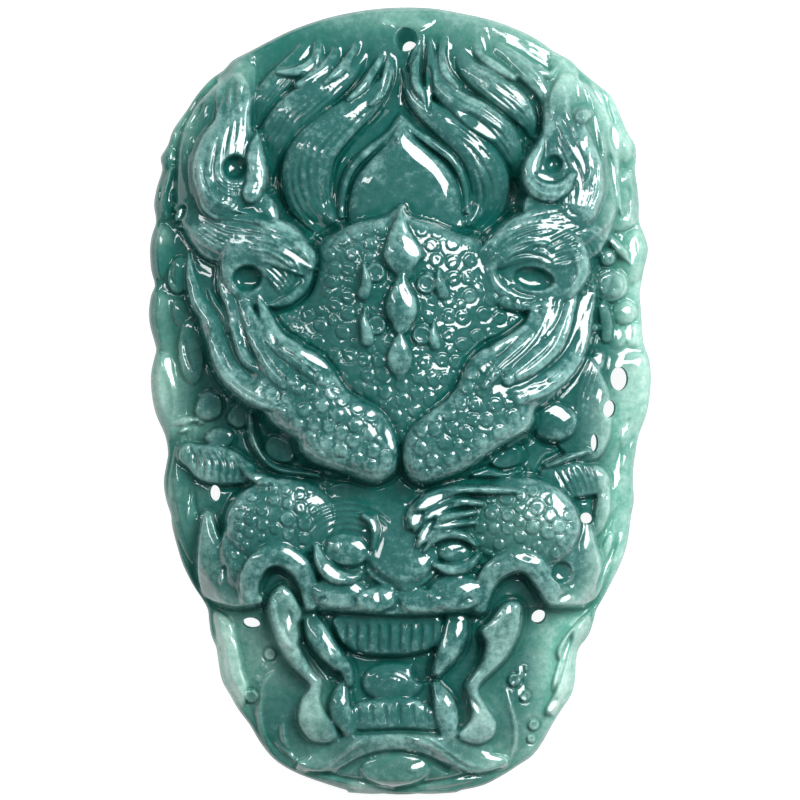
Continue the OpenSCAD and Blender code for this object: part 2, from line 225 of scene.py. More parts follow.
class Relief:
    """Height of the face over a grid, and how pale the stone is made there, which is partly painted glow and
    sheen.
    """

    def __init__(self, step):
        self.step = step
        self.x = np.arange(-REACH_X, REACH_X + step / 2, step)
        self.y = np.arange(-REACH_Y, REACH_Y + step / 2, step)
        self.z = np.zeros((len(self.y), len(self.x)))
        # how much paler the stone is made, partly painted glow and sheen
        self.pale = np.zeros(self.z.shape)
        self.flat = np.zeros(self.z.shape)
        self.deep = np.full(self.z.shape, TRENCH_DEEP)

    def part(self, places, margin):
        """The part of the grid round some places, and its coordinates."""
        low = places[:, :2].min(0) - margin
        high = places[:, :2].max(0) + margin
        i = slice(*np.searchsorted(self.y, (low[1], high[1])))
        j = slice(*np.searchsorted(self.x, (low[0], high[0])))
        x, y = np.meshgrid(self.x[j], self.y[i])
        return (i, j), x, y

    def join(self, area, level, blend, sunk=False):
        """Joins a form to the face, or a hollow if it is sunk."""
        if sunk:
            self.z[area] = smooth_min(self.z[area], level, blend)
        else:
            self.z[area] = smooth_max(self.z[area], level, blend)

    def limb(self, rows, crown=0.8, strands=0, depth=0.2, blend=0.2, sunk=False):
        """A long round form along rows of x, y, half width and height, or a round channel if it is sunk."""
        line = smooth(rows)
        half = np.maximum(line[:, 2], THIN)
        steps = np.arange(len(line))
        reach = (CEILING_Z - line[:, 3].min() if sunk else line[:, 3].max() - FLOOR_Z) / WALL
        area, x, y = self.part(line, half.max() + reach)
        away, side, row = nearest(line, x, y)
        w = np.interp(row, steps, half)
        u = np.minimum(away / w, 1)
        fall = crown * w * dip(u) + WALL * np.maximum(away - w, 0)
        if strands:
            across = side * u + WANDER[0] * np.sin(WANDER[1] * side * u + WANDER[2] * row) + 1
            groove = (1 - np.abs(np.sin(math.pi * strands * across / 2))) ** SHARP
            groove *= 1 - UNEVEN[0] + UNEVEN[0] * np.sin(UNEVEN[1] * side * u + UNEVEN[2] * row + UNEVEN[3])
            fall += depth * w / half.max() * groove * (u < 1)
        level = np.interp(row, steps, line[:, 3])
        self.join(area, level + fall if sunk else level - fall, blend, sunk)

    def limbs(self, table, **looks):
        for rows in table:
            self.limb(rows, **looks)

    def dome(self, x0, y0, rx, ry, top, crown=0.5, turn=0, blend=0.15, sunk=False):
        """A round boss, or a round bowl if it is sunk. Turn is in degrees."""
        reach = (CEILING_Z - top if sunk else top - FLOOR_Z) / WALL
        area, x, y = self.part(np.array([[x0, y0]]), max(rx, ry) + reach)
        c = math.cos(math.radians(turn))
        s = math.sin(math.radians(turn))
        u = np.hypot(((x - x0) * c + (y - y0) * s) / rx, ((y - y0) * c - (x - x0) * s) / ry)
        least = min(rx, ry)
        fall = crown * least * dip(u) + WALL * np.maximum(u - 1, 0) * least
        self.join(area, top + fall if sunk else top - fall, blend, sunk)

    def domes(self, table, **looks):
        for row in table:
            self.dome(*row, **looks)

    def plate(self, outline, top, slope=(0, 0), bend=(0, 0), edge=1, drop=0.8, facet=(0, 0), blend=0.2,
              sunk=False):
        """A field with an outline. Slope and bend are across and up; a facet has a width and a slope."""
        line = smooth(outline, closed=True)
        reach = (CEILING_Z - FLOOR_Z) / WALL
        area, x, y = self.part(line, reach)
        d = inward(line, x, y)
        x0, y0 = line[:, :2].mean(0)
        level = top + slope[0] * (x - x0) + slope[1] * (y - y0)
        level = level - bend[0] * (x - x0) ** 2 - bend[1] * (y - y0) ** 2
        fall = drop * dip(1 - np.clip(d / edge, 0, 1)) + WALL * np.maximum(-d, 0)
        fall += facet[1] * np.clip(facet[0] - d, 0, facet[0])
        self.join(area, level + fall if sunk else level - fall, blend, sunk)

    def plates(self, table, **looks):
        for row in table:
            self.plate(*row, **looks)

    def line(self, points, width=0.12, depth=0.12, taper=0.2):
        """A cut line that fades at its ends, or a raised one if its depth is negative."""
        curve = smooth(points)
        area, x, y = self.part(curve, LINE_REACH * width)
        away, _, row = nearest(curve, x, y)
        along = row / (len(curve) - 1)
        fade = np.clip(np.minimum(along, 1 - along) / taper, 0, 1)
        self.z[area] -= depth * fade * np.exp(-((away / width) ** 2))

    def lines(self, table, **looks):
        for points in table:
            self.line(points, **looks)

    def arc_line(self, row, **looks):
        self.line([place[:2] for place in arc(*row, 1, 0)], **looks)

    def comb(self, first, last, count, **looks):
        """Lines spread evenly between two guides that have as many points as each other."""
        a = np.array(first, float)
        b = np.array(last, float)
        for k in range(count):
            self.line(mix(a, b, (k + 0.5) / count), **looks)

    def combs(self, table, **looks):
        for first, last, count, depth in table:
            self.comb(first, last, count, depth=depth, **looks)

    def ring(self, x0, y0, r, rise=0.1, cut=0.1):
        """A ring scale: a low flat boss with a raised lip inside a narrow round groove."""
        area, x, y = self.part(np.array([[x0, y0]]), RING_REACH * r)
        u = np.hypot(x - x0, y - y0) / r
        lip = RING_LIP[0] * rise * np.exp(-(((u - RING_LIP[1]) / RING_LIP[2]) ** 2))
        groove = cut * np.exp(-(((u - 1) / RING_CUT) ** 2))
        self.z[area] += RING_TOP * rise * np.maximum(0, 1 - u**6) + lip - groove

    def rings(self, table, r):
        for x0, y0 in table:
            self.ring(x0, y0, r)

    def fill_rings(self, outline, taken, spacing, r, taken_r):
        """Small ring scales on a staggered lattice, where the larger ones leave room in an outline."""
        line = smooth(outline, closed=True)
        low = line[:, :2].min(0)
        high = line[:, :2].max(0)
        x, y = np.meshgrid(np.arange(low[0], high[0], spacing), np.arange(low[1], high[1], spacing / 2))
        x[::2] += spacing / 2
        inside = inward(line, x, y) > RING_INSET * r
        taken = [tuple(place) for place in taken]
        for place in zip(x[inside], y[inside]):
            if min(math.dist(place, other) for other in taken) > taken_r + RING_ROOM * r:
                self.ring(*place, r)
                taken.append(place)

    def polish(self, x0, y0, half_long, half_wide, turn):
        """A small flat polished on a form. Turn is in degrees."""
        area, x, y = self.part(np.array([[x0, y0]]), FLAT_REACH * half_long)
        c = math.cos(math.radians(turn))
        s = math.sin(math.radians(turn))
        along = (x - x0) * c + (y - y0) * s
        across = (y - y0) * c - (x - x0) * s
        u = np.hypot(along / half_long, across / half_wide)
        z = self.z[area]
        mean = z[u < 1].mean()
        own = (along * (z - mean))[u < 1].sum() / (along**2)[u < 1].sum()
        best = c * FLAT[0] + s * FLAT[1]
        slope = np.clip(own, best - FLAT_SPAN, best + FLAT_SPAN)
        level = mean + slope * along + (c * FLAT[1] - s * FLAT[0]) * across
        self.z[area] = mix(z, level, np.clip((FLAT_EDGE - u) / FLAT_SOFT, 0, 1))
        self.flat[area] = np.maximum(self.flat[area], u < FLAT_KEPT)

    def keep_deep(self, rows):
        """Marks a hollow along rows of x, y, half width and height that isn't filled like a trench."""
        line = smooth(rows)
        area, x, y = self.part(line, DEEPER_REACH * line[:, 2].max())
        away, _, row = nearest(line, x, y)
        half = np.interp(row, np.arange(len(line)), line[:, 2])
        deep = TRENCH_DEEP + DEEPER * np.exp(-((away / (DEEPER_SPAN * half)) ** 4))
        self.deep[area] = np.maximum(self.deep[area], deep)

    def tint(self, x0, y0, rx, ry, amount):
        """Makes the stone paler round a place, partly as paler stone and partly as painted glow and sheen.
        """
        area, x, y = self.part(np.array([[x0, y0]]), TINT_REACH * max(rx, ry))
        u2 = ((x - x0) / rx) ** 2 + ((y - y0) / ry) ** 2
        self.pale[area] += amount * np.exp(-u2)


def carve_ground(stone):
    """The rim and the ground inside it."""
    coarse = Relief(OUTLINE_COARSE * stone.step)
    x, y = np.meshgrid(coarse.x, coarse.y)
    d = inward(outline_line(), x, y)
    columns = np.interp(stone.x, coarse.x, np.arange(len(coarse.x)))
    lines = np.interp(stone.y, coarse.y, np.arange(len(coarse.y)))
    j = np.minimum(columns.astype(int), len(coarse.x) - 2)
    i = np.minimum(lines.astype(int), len(coarse.y) - 2)
    u = (columns - j)[None, :]
    v = (lines - i)[:, None]
    low = mix(d[i][:, j], d[i][:, j + 1], u)
    high = mix(d[i + 1][:, j], d[i + 1][:, j + 1], u)
    stone.rim = mix(low, high, v)
    stone.z[:] = mix(RIM_Z, GROUND_Z, eased(stone.rim / GROUND_IN))
    stone.ground = stone.z.copy()


LEAVES_LEFT = (
    # outline and height of each flat leaf along the left edge
    (((-19.7, 13.2), (-19, 14), (-18.2, 13.6), (-17.7, 12.4), (-17.8, 11), (-18.4, 9.9), (-19.2, 9.6),
     (-19.9, 10.6), (-20.1, 12)), 6.9),
    (((-20.1, 7.4), (-19.5, 8.7), (-18.7, 8.5), (-18, 7.2), (-17.8, 5.6), (-18.2, 4.4), (-19.2, 3.9),
     (-20, 5.2)), 6.7),
    (((-19.2, 19.4), (-18.5, 20.2), (-17.8, 19.5), (-17.7, 17.6), (-17.9, 15.8), (-18.5, 14.4),
     (-19.5, 14.6), (-19.8, 16.4), (-19.4, 18.2)), 6.9),
    (((-19.7, 3.4), (-18.6, 3.7), (-17.8, 2.5), (-17.2, 0.8), (-16.6, -0.6), (-15.7, -1.4), (-15.8, -2.1),
     (-17, -2.7), (-18.4, -3.3), (-19, -2.2), (-19.7, -0.6), (-19.9, 1.4)), 6.8),
)


def carve_edge_left(stone):
    """Leaves and curls along the left edge. Rows are x, y, half width, height."""
    stone.limb(((-13.9, 26.2, 0.3, 5.8), (-15.4, 24.8, 0.5, 6.2), (-16.8, 23.2, 0.7, 6.4),
        (-17.8, 21.4, 0.8, 6.4), (-18, 20.4, 0.6, 6.2)), crown=0.4)
    stone.plates(LEAVES_LEFT, edge=1, drop=0.6)
    stone.limb(((-18.2, 18.6, 0.1, 7.2), (-18.7, 17.2, 0.22, 7.3), (-18.9, 15.8, 0.2, 7.2),
        (-18.6, 14.6, 0.1, 7)), crown=0.9)
    stone.limb(((-17.8, 15.4, 0.3, 7.8), (-17, 15, 0.35, 8), (-16.8, 14.2, 0.3, 8),
        (-17.5, 13.9, 0.2, 7.8)), crown=0.8)
    stone.dome(-17.6, 10, 0.95, 1.45, 7.6, 0.35, -8, blend=0.3)
    stone.line(((-18.1, 11.2), (-18.3, 10.2), (-18.1, 9)), width=0.15, depth=0.25)
    stone.dome(-17.4, 6.9, 0.8, 1.1, 7.2, 0.35, 20, blend=0.3)
    stone.dome(-16.7, 3.8, 1, 2.5, 7.6, 0.3, 4, blend=0.3)
    stone.line(((-17.3, 5.2), (-17.1, 3.6), (-16.6, 2.2)), width=0.15, depth=0.25)
    stone.line(((-19, 3), (-18.3, 1.2), (-18.1, -0.6), (-18.4, -1.8)), width=0.18, depth=-0.16)
    stone.limb(((-18.2, -1.9, 0.15, 7), (-17.3, -1.7, 0.35, 7.4), (-16.4, -1.7, 0.35, 7.5),
        (-15.8, -1.8, 0.15, 7.4)), crown=0.9)
    stone.limb(((-17.2, -3.8, 0.8, 6.8), (-17.4, -6.4, 1, 7), (-17.2, -9, 1.1, 7), (-16.4, -11.6, 0.9, 7),
        (-15.4, -14, 0.6, 6.8), (-14.6, -15.4, 0.3, 6.6)), crown=0.35)
    stone.line(((-18.1, -4.2), (-18.2, -6.4), (-18, -8.8), (-17.2, -11.4), (-16.3, -13.4)), width=0.15,
        depth=0.2)
    stone.line(((-16.5, -7), (-16.4, -8.4), (-16, -9.8)), width=0.15, depth=0.25)


LEAVES_RIGHT = (
    (((16.8, 24.2), (17.8, 22.6), (18.6, 20.8), (18.4, 19), (17.4, 18.6), (16.9, 20.4), (16.6, 22.4)), 6.9),
    (((16.4, 18.6), (17.6, 18.4), (18.6, 18), (19, 16.2), (18.9, 14.4), (18, 13.6), (16.9, 13.6),
     (16.2, 15.2), (16, 17)), 7.6),
    (((17.6, 13), (19, 13.6), (19.8, 12.2), (19.6, 10.6), (18.8, 9.4), (17.8, 9.4), (17.4, 11.2)), 7),
    (((19.7, 3.6), (18.2, 3.9), (16.8, 3.2), (16.2, 1.6), (15.7, 0.2), (15.2, -1.4), (15, -3), (15.4, -4.4),
     (16.6, -4.9), (17.6, -4.2), (18.6, -3), (19.4, -1.6), (20.1, 0.4), (20.1, 2.2)), 6.9),
    (((17, -4.9), (18.1, -4.4), (18.5, -6), (18.3, -8), (18, -9.8), (17, -11), (16.3, -10), (16.7, -8),
     (16.9, -6.2)), 6.7),
)


def carve_edge_right(stone):
    """Leaves and curls along the right edge. Rows are x, y, half width, height."""
    stone.plates(LEAVES_RIGHT, edge=1.1, drop=0.7)
    stone.dome(17.6, 20.5, 0.8, 1.5, 7.3, 0.5, 8)
    stone.dome(16.8, 15, 0.5, 0.55, 8.1, 0.8)
    stone.line(((18.2, 17.6), (18.4, 16), (18.1, 14.4)), width=0.16, depth=0.3)
    stone.limb(((16.8, 13, 0.25, 8), (17.6, 12, 0.35, 8), (18.4, 11.2, 0.25, 7.4)), crown=0.8)
    stone.dome(16.6, 11.4, 0.65, 0.65, 8.2, 0.7)
    stone.dome(16.8, 9.2, 1.35, 1.35, 7.9, 0.3, blend=0.3)
    stone.ring(16.8, 9.2, 1.1, 0.15, 0.15)
    stone.dome(17.9, 7, 0.95, 0.95, 7.4, 0.5)
    stone.dome(18.6, 5.2, 0.75, 1, 6.8, 0.4)
    stone.dome(17.3, 5, 0.75, 0.9, 7.2, 0.4)
    stone.limb(((16.2, 7.4, 0.4, 8.2), (16.5, 6.2, 0.5, 8), (16.5, 5, 0.4, 7.8)), crown=0.6)
    stone.domes(((14.5, 8.7, 0.3, 0.3, 9.4), (15.4, 9, 0.25, 0.3, 9), (15.5, 5.8, 0.35, 0.35, 8.6)),
        crown=0.8)
    stone.limb(((15.9, 3.4, 0.5, 8), (15.2, 1.6, 0.8, 8.2), (14.6, -0.4, 0.8, 8.2), (14.2, -2.4, 0.6, 8.2)),
        crown=0.4)
    stone.line(((19.7, 1.6), (19.4, 0), (18.8, -1.8), (18.3, -3.6)), width=0.14, depth=0.14)
    stone.limb(((18.9, -2.4, 0.15, 6.4), (18.6, -4.4, 0.2, 6.5), (18.5, -6.4, 0.2, 6.5),
        (18.4, -8.4, 0.15, 6.4)), crown=0.8)
    stone.limb(((17.9, -10.2, 0.3, 6.2), (17.3, -12.2, 0.6, 6.6), (16.5, -14, 0.6, 6.6),
        (15.8, -15.6, 0.3, 6.4)), crown=0.5)
    stone.limb(((16.8, -11, 0.25, 7.2), (16.3, -12.4, 0.4, 7.4), (15.8, -13.8, 0.3, 7.2)), crown=0.7)


RECESSES = (
    # the deep recesses below the hair: x, y, half width, height
    ((-11.4, 24, 0.6, 7.4), (-11, 21.6, 0.7, 7.2), (-10.4, 18.8, 1, 6.8), (-9.8, 16.2, 1.1, 6.5),
     (-8.2, 14, 1.2, 6.5), (-5.8, 12.9, 0.9, 7)),
    ((11.4, 23.8, 0.5, 7.4), (10.6, 21.4, 0.6, 7.2), (9.9, 18.8, 0.9, 6.8), (9.4, 16.2, 1, 6.5),
     (8.1, 14.2, 1.1, 6.5), (6.2, 13.1, 0.8, 7)),
)
HAIR_LEFT = (
    # bundles from the middle outward; rows are x, y, half width, height
    ((-0.5, 26.6, 0.15, 7.2), (-1.3, 25.2, 0.6, 8), (-2.8, 23.7, 1.1, 8.8), (-5, 22, 1.5, 9.3),
     (-6.9, 20, 1.85, 9.4), (-7.5, 17.8, 2, 9), (-7.1, 15.7, 1.7, 8.3), (-5.9, 14.1, 1, 7.4),
     (-4.9, 13.3, 0.4, 6.6)),
    ((-2.4, 28.4, 0.15, 6.6), (-3.3, 27, 0.45, 7.4), (-4.6, 25.8, 0.9, 8.3), (-6.6, 24.4, 1.3, 8.9),
     (-8.7, 22.8, 1.5, 8.8), (-10.2, 20.6, 1.3, 8.2), (-10.6, 18.4, 0.7, 7.2)),
    ((-7.3, 29.2, 0.2, 6.2), (-7.6, 28.1, 0.6, 7), (-8.5, 26.8, 0.9, 7.5), (-10, 25.2, 1, 7.9),
     (-11.2, 23.6, 0.8, 7.8), (-11.6, 22, 0.4, 7.2)),
)
HAIR_RIGHT = (
    ((0.3, 26.4, 0.15, 7.4), (0.8, 25, 0.5, 8.3), (1.8, 23.5, 0.8, 9), (3.9, 21.8, 1.15, 9.5),
     (5.9, 20, 1.35, 9.6), (7.1, 17.8, 1.6, 9.2), (7.1, 15.7, 1.4, 8.4), (6.2, 14.1, 0.9, 7.6),
     (5.4, 13.3, 0.35, 6.8)),
    ((2.3, 28.9, 0.1, 7), (2.5, 27.2, 0.4, 8), (2.9, 25.5, 0.65, 8.8), (4.4, 23.9, 0.9, 9.5),
     (6.5, 22.6, 1.1, 9.8), (8.3, 21, 1.1, 9.5), (9.2, 19.2, 0.7, 8.6), (9.3, 18, 0.3, 7.6)),
    ((4.1, 29.6, 0.1, 6.2), (4.7, 28, 0.45, 7), (5.5, 26.5, 0.8, 8), (7.2, 25.2, 1.1, 8.8),
     (9, 23.8, 1.1, 8.9), (10.2, 22.4, 0.7, 8.4), (10.6, 21.2, 0.3, 7.6)),
    ((7.2, 29.4, 0.1, 6), (7.5, 28.4, 0.5, 6.8), (8.8, 27.3, 0.8, 7.6), (10.4, 26, 0.8, 8.2),
     (11.4, 24.6, 0.5, 8.2), (11.5, 23.4, 0.2, 7.6)),
)
HAIR_TIPS = (
    # the locks' pointed upper ends
    ((-1, 28.5, 0.05, 6.4), (-1.5, 27.4, 0.28, 7.3), (-2.2, 26.2, 0.32, 8.2), (-3, 25, 0.3, 8.9),
     (-4.2, 24, 0.15, 9.1)),
    ((-0.25, 27.9, 0.05, 6.6), (-0.7, 26.9, 0.25, 7.4), (-0.9, 25.8, 0.3, 8.2), (-1.5, 24.5, 0.3, 8.8),
     (-2.4, 23.6, 0.15, 9)),
    ((-2.75, 30.1, 0.05, 6), (-3.2, 28.9, 0.25, 6.8), (-4, 27.5, 0.35, 7.8), (-4.8, 26.4, 0.35, 8.7),
     (-6, 25.4, 0.15, 9)),
    ((-4.3, 29.3, 0.05, 6), (-5, 28.2, 0.35, 7), (-5.7, 26.9, 0.55, 8), (-7, 25.9, 0.45, 8.6),
     (-8.2, 25.2, 0.2, 8.9)),
    ((-6.7, 29.5, 0.05, 6.2), (-6.6, 28.2, 0.4, 7.2), (-6.9, 27, 0.55, 8), (-8.2, 26.3, 0.4, 8.4),
     (-9.8, 26.2, 0.15, 8.2)),
    ((1.7, 29, 0.05, 6.8), (1.4, 27.8, 0.3, 7.9), (1.2, 26.4, 0.35, 8.6), (1.4, 25, 0.35, 9.1),
     (2.4, 23.6, 0.2, 9.3)),
    ((3.45, 30, 0.05, 6.2), (3.5, 28.9, 0.28, 7), (3.3, 27.6, 0.3, 7.9), (3.6, 26.2, 0.3, 8.8),
     (4.6, 25, 0.15, 9.3)),
    ((5.6, 29.6, 0.05, 6), (6.1, 28.6, 0.4, 6.9), (6.4, 27.6, 0.35, 7.6), (7.6, 26.7, 0.4, 8.5),
     (9, 25.8, 0.2, 9)),
    ((9, 28.4, 0.05, 6), (9.8, 27.5, 0.25, 6.8), (11, 26.5, 0.3, 7.8), (11.9, 26, 0.3, 7.9),
     (12.4, 26.4, 0.1, 7.6)),
)
DOME_BORDERS = (
    # thin ridges on both sides of the dome; rows are x, y, half width, height
    ((0.1, 22.6, 0.2, 9), (-0.9, 21.2, 0.25, 9.3), (-2.4, 20, 0.3, 9.4), (-3.8, 18.6, 0.3, 9.3),
     (-4.5, 16.8, 0.3, 9), (-4.6, 14.8, 0.25, 8.4)),
    ((0.1, 22.6, 0.2, 9), (1, 21.6, 0.25, 9.4), (2.6, 20.5, 0.3, 9.6), (4.2, 19.2, 0.3, 9.6),
     (5.1, 17.4, 0.3, 9.2), (5.3, 15.2, 0.25, 8.6)),
)
DOME = (
    (0.15, 22.2), (1.2, 20.9), (2.6, 19.7), (3.9, 18.5), (4.7, 17), (4.9, 15.2), (4.5, 13.4), (0, 12.8),
    (-3.6, 13.4), (-4.1, 15), (-4, 16.4), (-3.5, 17.8), (-2.5, 19.1), (-1, 20.7),
)


def carve_hair(stone):
    """The hair bundles, the dome that they part round, and the deep recesses below them."""
    for rows in RECESSES:
        stone.limb(rows, crown=0.5, sunk=True, blend=0.6)
        stone.keep_deep(rows)
    stone.dome(0.4, 17.2, 6, 6.4, 8.8, 0.4)
    stone.limbs(HAIR_LEFT, crown=0.5, strands=8, depth=0.3, blend=0.2)
    stone.limbs(HAIR_RIGHT, crown=0.55, strands=6, depth=0.3, blend=0.2)
    stone.limbs(HAIR_TIPS, crown=0.9, blend=0.2)
    stone.limbs(DOME_BORDERS, crown=0.9)
    stone.plate(DOME, 10.3, bend=(0.016, 0.012), edge=1.4, drop=0.9, blend=0.1)


HORN_BASES = (
    # the mass that each horn rises from: outline, height, slope across and up
    (((-12.6, 26), (-11.9, 24.4), (-11.9, 22), (-11, 19.6), (-10.9, 17), (-9.8, 15.2), (-10.2, 12.4),
     (-12.6, 11), (-15.6, 11.4), (-17.6, 14.4), (-17.9, 18.4), (-17.3, 21.6), (-15.9, 24),
     (-14, 25.8)), 9.2, (0.3, -0.12)),
    (((12.9, 26), (12, 24.4), (11.6, 22), (10.4, 19.4), (10.5, 17), (9.8, 15.4), (10.6, 12.8), (13.4, 11.2),
     (15.8, 11.6), (17.4, 15), (17.6, 18.4), (17.1, 21.6), (16.2, 23.6), (14.4, 25.6)), 9.2,
     (-0.28, -0.12)),
)
HORN_LEFT = (
    # shaft, fork, trunk; rows are x, y, half width, height
    ((-12.5, 27.2, 0.8, 6.7), (-12.7, 26.4, 1.2, 7.4), (-13, 25.2, 1.5, 8), (-13.3, 23.6, 1.35, 8.8),
     (-13.5, 22, 1.45, 9.5), (-14, 20.3, 2, 9.9), (-14.4, 18.2, 2.2, 10.2), (-14.2, 16.2, 1.8, 10.6)),
    ((-11.45, 21.2, 0.08, 9.8), (-11.6, 20.2, 0.45, 10.3), (-11.6, 19, 0.7, 10.6),
     (-11.5, 17.7, 0.75, 10.8), (-11.9, 16.5, 0.7, 11)),
    ((-17.4, 16.4, 0.7, 7.4), (-16.2, 14.8, 1.4, 8.8), (-14.2, 13.6, 1.8, 10.2), (-11.8, 13, 1.9, 10.9),
     (-9.6, 12.3, 1.8, 11.3), (-7.9, 11.2, 1.2, 11.4)),
)
HORN_RIGHT = (
    # shaft, fork, trunk, outer band
    ((12.8, 27.2, 0.8, 6.7), (13, 26.3, 1.1, 7.4), (13, 24.8, 1.4, 8), (12.9, 22.9, 1.4, 9),
     (13.2, 21.1, 1.8, 9.6), (13.9, 19.2, 2, 10), (14.4, 17.2, 1.9, 10.3), (14.2, 15.6, 1.6, 10.6)),
    ((11.4, 20.9, 0.08, 9.8), (11.1, 20, 0.35, 10.2), (10.6, 18.9, 0.55, 10.5), (10.5, 17.8, 0.65, 10.7),
     (11.1, 16.9, 0.75, 10.9), (12.2, 16.6, 0.7, 11), (13.2, 17.1, 0.5, 10.9), (13.8, 18, 0.2, 10.7)),
    ((16.8, 16.8, 0.7, 7.8), (15.8, 15, 1.3, 9.2), (13.8, 14, 1.8, 10.4), (11.6, 13.4, 2, 11),
     (9.5, 12.7, 1.8, 11.4), (7.9, 11.8, 1.3, 11.5)),
    ((14.7, 25.6, 0.4, 6.4), (15.3, 24.2, 0.8, 7.1), (15.7, 22.4, 1, 7.6), (16.1, 20.4, 0.9, 7.9),
     (16.4, 18.4, 0.7, 8), (16.2, 16.8, 0.5, 8.2)),
)
HORN_ARCS = (
    # thick folds at the roots: x, y, radius across, radius up, from, to, half width, height
    (-10.6, 10.6, 3.3, 3, 20, -90, 0.35, 11), (10.4, 10.5, 3.9, 3, 110, 290, 0.6, 11.4),
    (10.4, 10.4, 3.1, 2.3, 130, 275, 0.4, 11.5), (10.6, 10.4, 3.9, 3, 60, -50, 0.3, 10.8),
)
HORN_FOLDS = (
    # thin folds round the pits and over the roots: x, y, radius across, radius up, from, to
    (-13.2, 18.5, 1.2, 1.2, 150, 330), (-13.2, 18.5, 1.6, 1.65, 145, 310),
    (-13.2, 18.5, 2.05, 2.1, 150, 290), (-13.2, 18.5, 2.5, 2.6, 160, 280),
    (-13.2, 18.7, 2.9, 3.2, 165, 265), (-13.2, 19, 3.4, 4, 170, 255), (12.3, 18.8, 1.1, 1.1, 200, 340),
    (12.2, 18.6, 1.6, 1.5, 195, 330), (12.2, 18.4, 2.1, 2, 190, 300), (-10.8, 9.8, 1.7, 1.3, 100, -60),
    (-10.8, 9.9, 2.2, 1.7, 100, -60), (-10.7, 10, 2.7, 2.1, 90, -80), (-10.6, 10.1, 3.6, 2.9, 60, -60),
    (10.2, 10.3, 1.9, 1.1, 160, 20), (10.2, 10.4, 2.4, 1.6, 165, 25), (10.4, 10.6, 2.8, 2.1, 120, 40),
    (11, 10.4, 3.9, 3, 40, -70), (11, 10.4, 3.3, 2.4, 35, -70), (10.4, 10.5, 4.4, 3.4, 100, 190),
    (10.6, 10.2, 2.6, 1.5, 190, 320),
)
HORN_PITS = ((-13.2, 18.6, 1, 1, 8.4), (12.3, 18.9, 0.8, 0.84, 8.8))
ROOT_PITS = (
    # x, y, radius across, radius up, height, crown, turn in degrees
    (-12.3, 9.7, 1.15, 1, 9, 1.4, 10), (10.7, 9.7, 1.6, 0.85, 9.6, 1.4, -10),
)
HORN_COMBS = (
    # first and last strand, number of strands, depth
    (((-12.4, 14.5), (-9.6, 13.9), (-7.7, 12.6), (-6.9, 10.6)), ((-12.2, 12), (-10.6, 11.8), (-9.4, 11.1),
     (-8.5, 9.9)), 7, -0.28),
    (((12.8, 14.9), (9.8, 14.3), (7.6, 13), (6.5, 10.6)), ((12, 12.4), (10.4, 12.2), (9, 11.6),
     (8, 10.2)), 6, -0.28),
    (((-12.2, 12.2), (-10.2, 11.9), (-8.8, 11), (-7.8, 9.6)), ((-11.2, 10.4), (-10.6, 9.7), (-10, 8.9),
     (-9.4, 8.2)), 6, -0.26),
    (((15.6, 14.4), (13.6, 13.8), (11.6, 12.6), (10.4, 11.6)), ((15.2, 11.6), (14, 10.8), (12.6, 10.6),
     (11.4, 10.6)), 6, -0.16),
)
HORN_LINES = (
    # raised strand lines over the horns
    ((-12.6, 25.8), (-12.9, 24.4), (-12.8, 23)),
    ((-13.4, 25.2), (-13.6, 23.8), (-13.5, 22.4)),
    ((-14.2, 24.8), (-14.4, 23.4), (-14.5, 22)),
    ((-16.2, 19.2), (-15.9, 17.4), (-14.9, 15.8), (-13, 15)),
    ((-15.6, 17), (-14.4, 15.9), (-12.8, 15.2)),
    ((12.6, 22.9), (12.9, 21.8), (13.4, 20.6), (14.2, 18.8)),
    ((13.2, 24.6), (13.4, 23), (13.9, 21.6)),
    ((14.6, 23.6), (14.8, 22), (15.2, 20.6)),
    ((15, 20.2), (15.3, 18.6), (14.8, 16.9)),
    ((12.2, 25.4), (12, 23.8), (12.2, 22.4)),
    ((16, 21.6), (16.3, 20), (16.2, 18.4)),
    ((13.6, 18.6), (13.4, 17.2), (12.4, 16), (10.6, 15.2)),
)


def carve_horns(stone):
    """Two antler-like horns with forks that curl round drilled pits, and roots that curl round others."""
    stone.plates(HORN_BASES, edge=1.6, drop=0.8, blend=0.5)
    stone.dome(-10.6, 10.8, 3.7, 3.4, 10.9, 0.2, blend=0.9)
    stone.dome(10.6, 10.8, 4.5, 3.5, 11, 0.15, blend=0.9)
    stone.limbs(HORN_LEFT, crown=0.3, strands=8, depth=0.24, blend=0.5)
    stone.limbs(HORN_RIGHT, crown=0.3, strands=8, depth=0.24, blend=0.5)
    for row in HORN_ARCS:
        stone.limb(arc(*row), crown=0.6, blend=0.4)
    for row in HORN_FOLDS:
        stone.arc_line(row, width=0.15, depth=-0.2)
    stone.dome(14.6, 22.7, 0.7, 0.55, 9.6, 0.8, 30)
    stone.combs(HORN_COMBS, width=0.15)
    stone.lines(HORN_LINES, width=0.16, depth=-0.22)
    stone.domes(HORN_PITS, crown=1.9, blend=0.2, sunk=True)
    stone.domes(ROOT_PITS, blend=0.7, sunk=True)


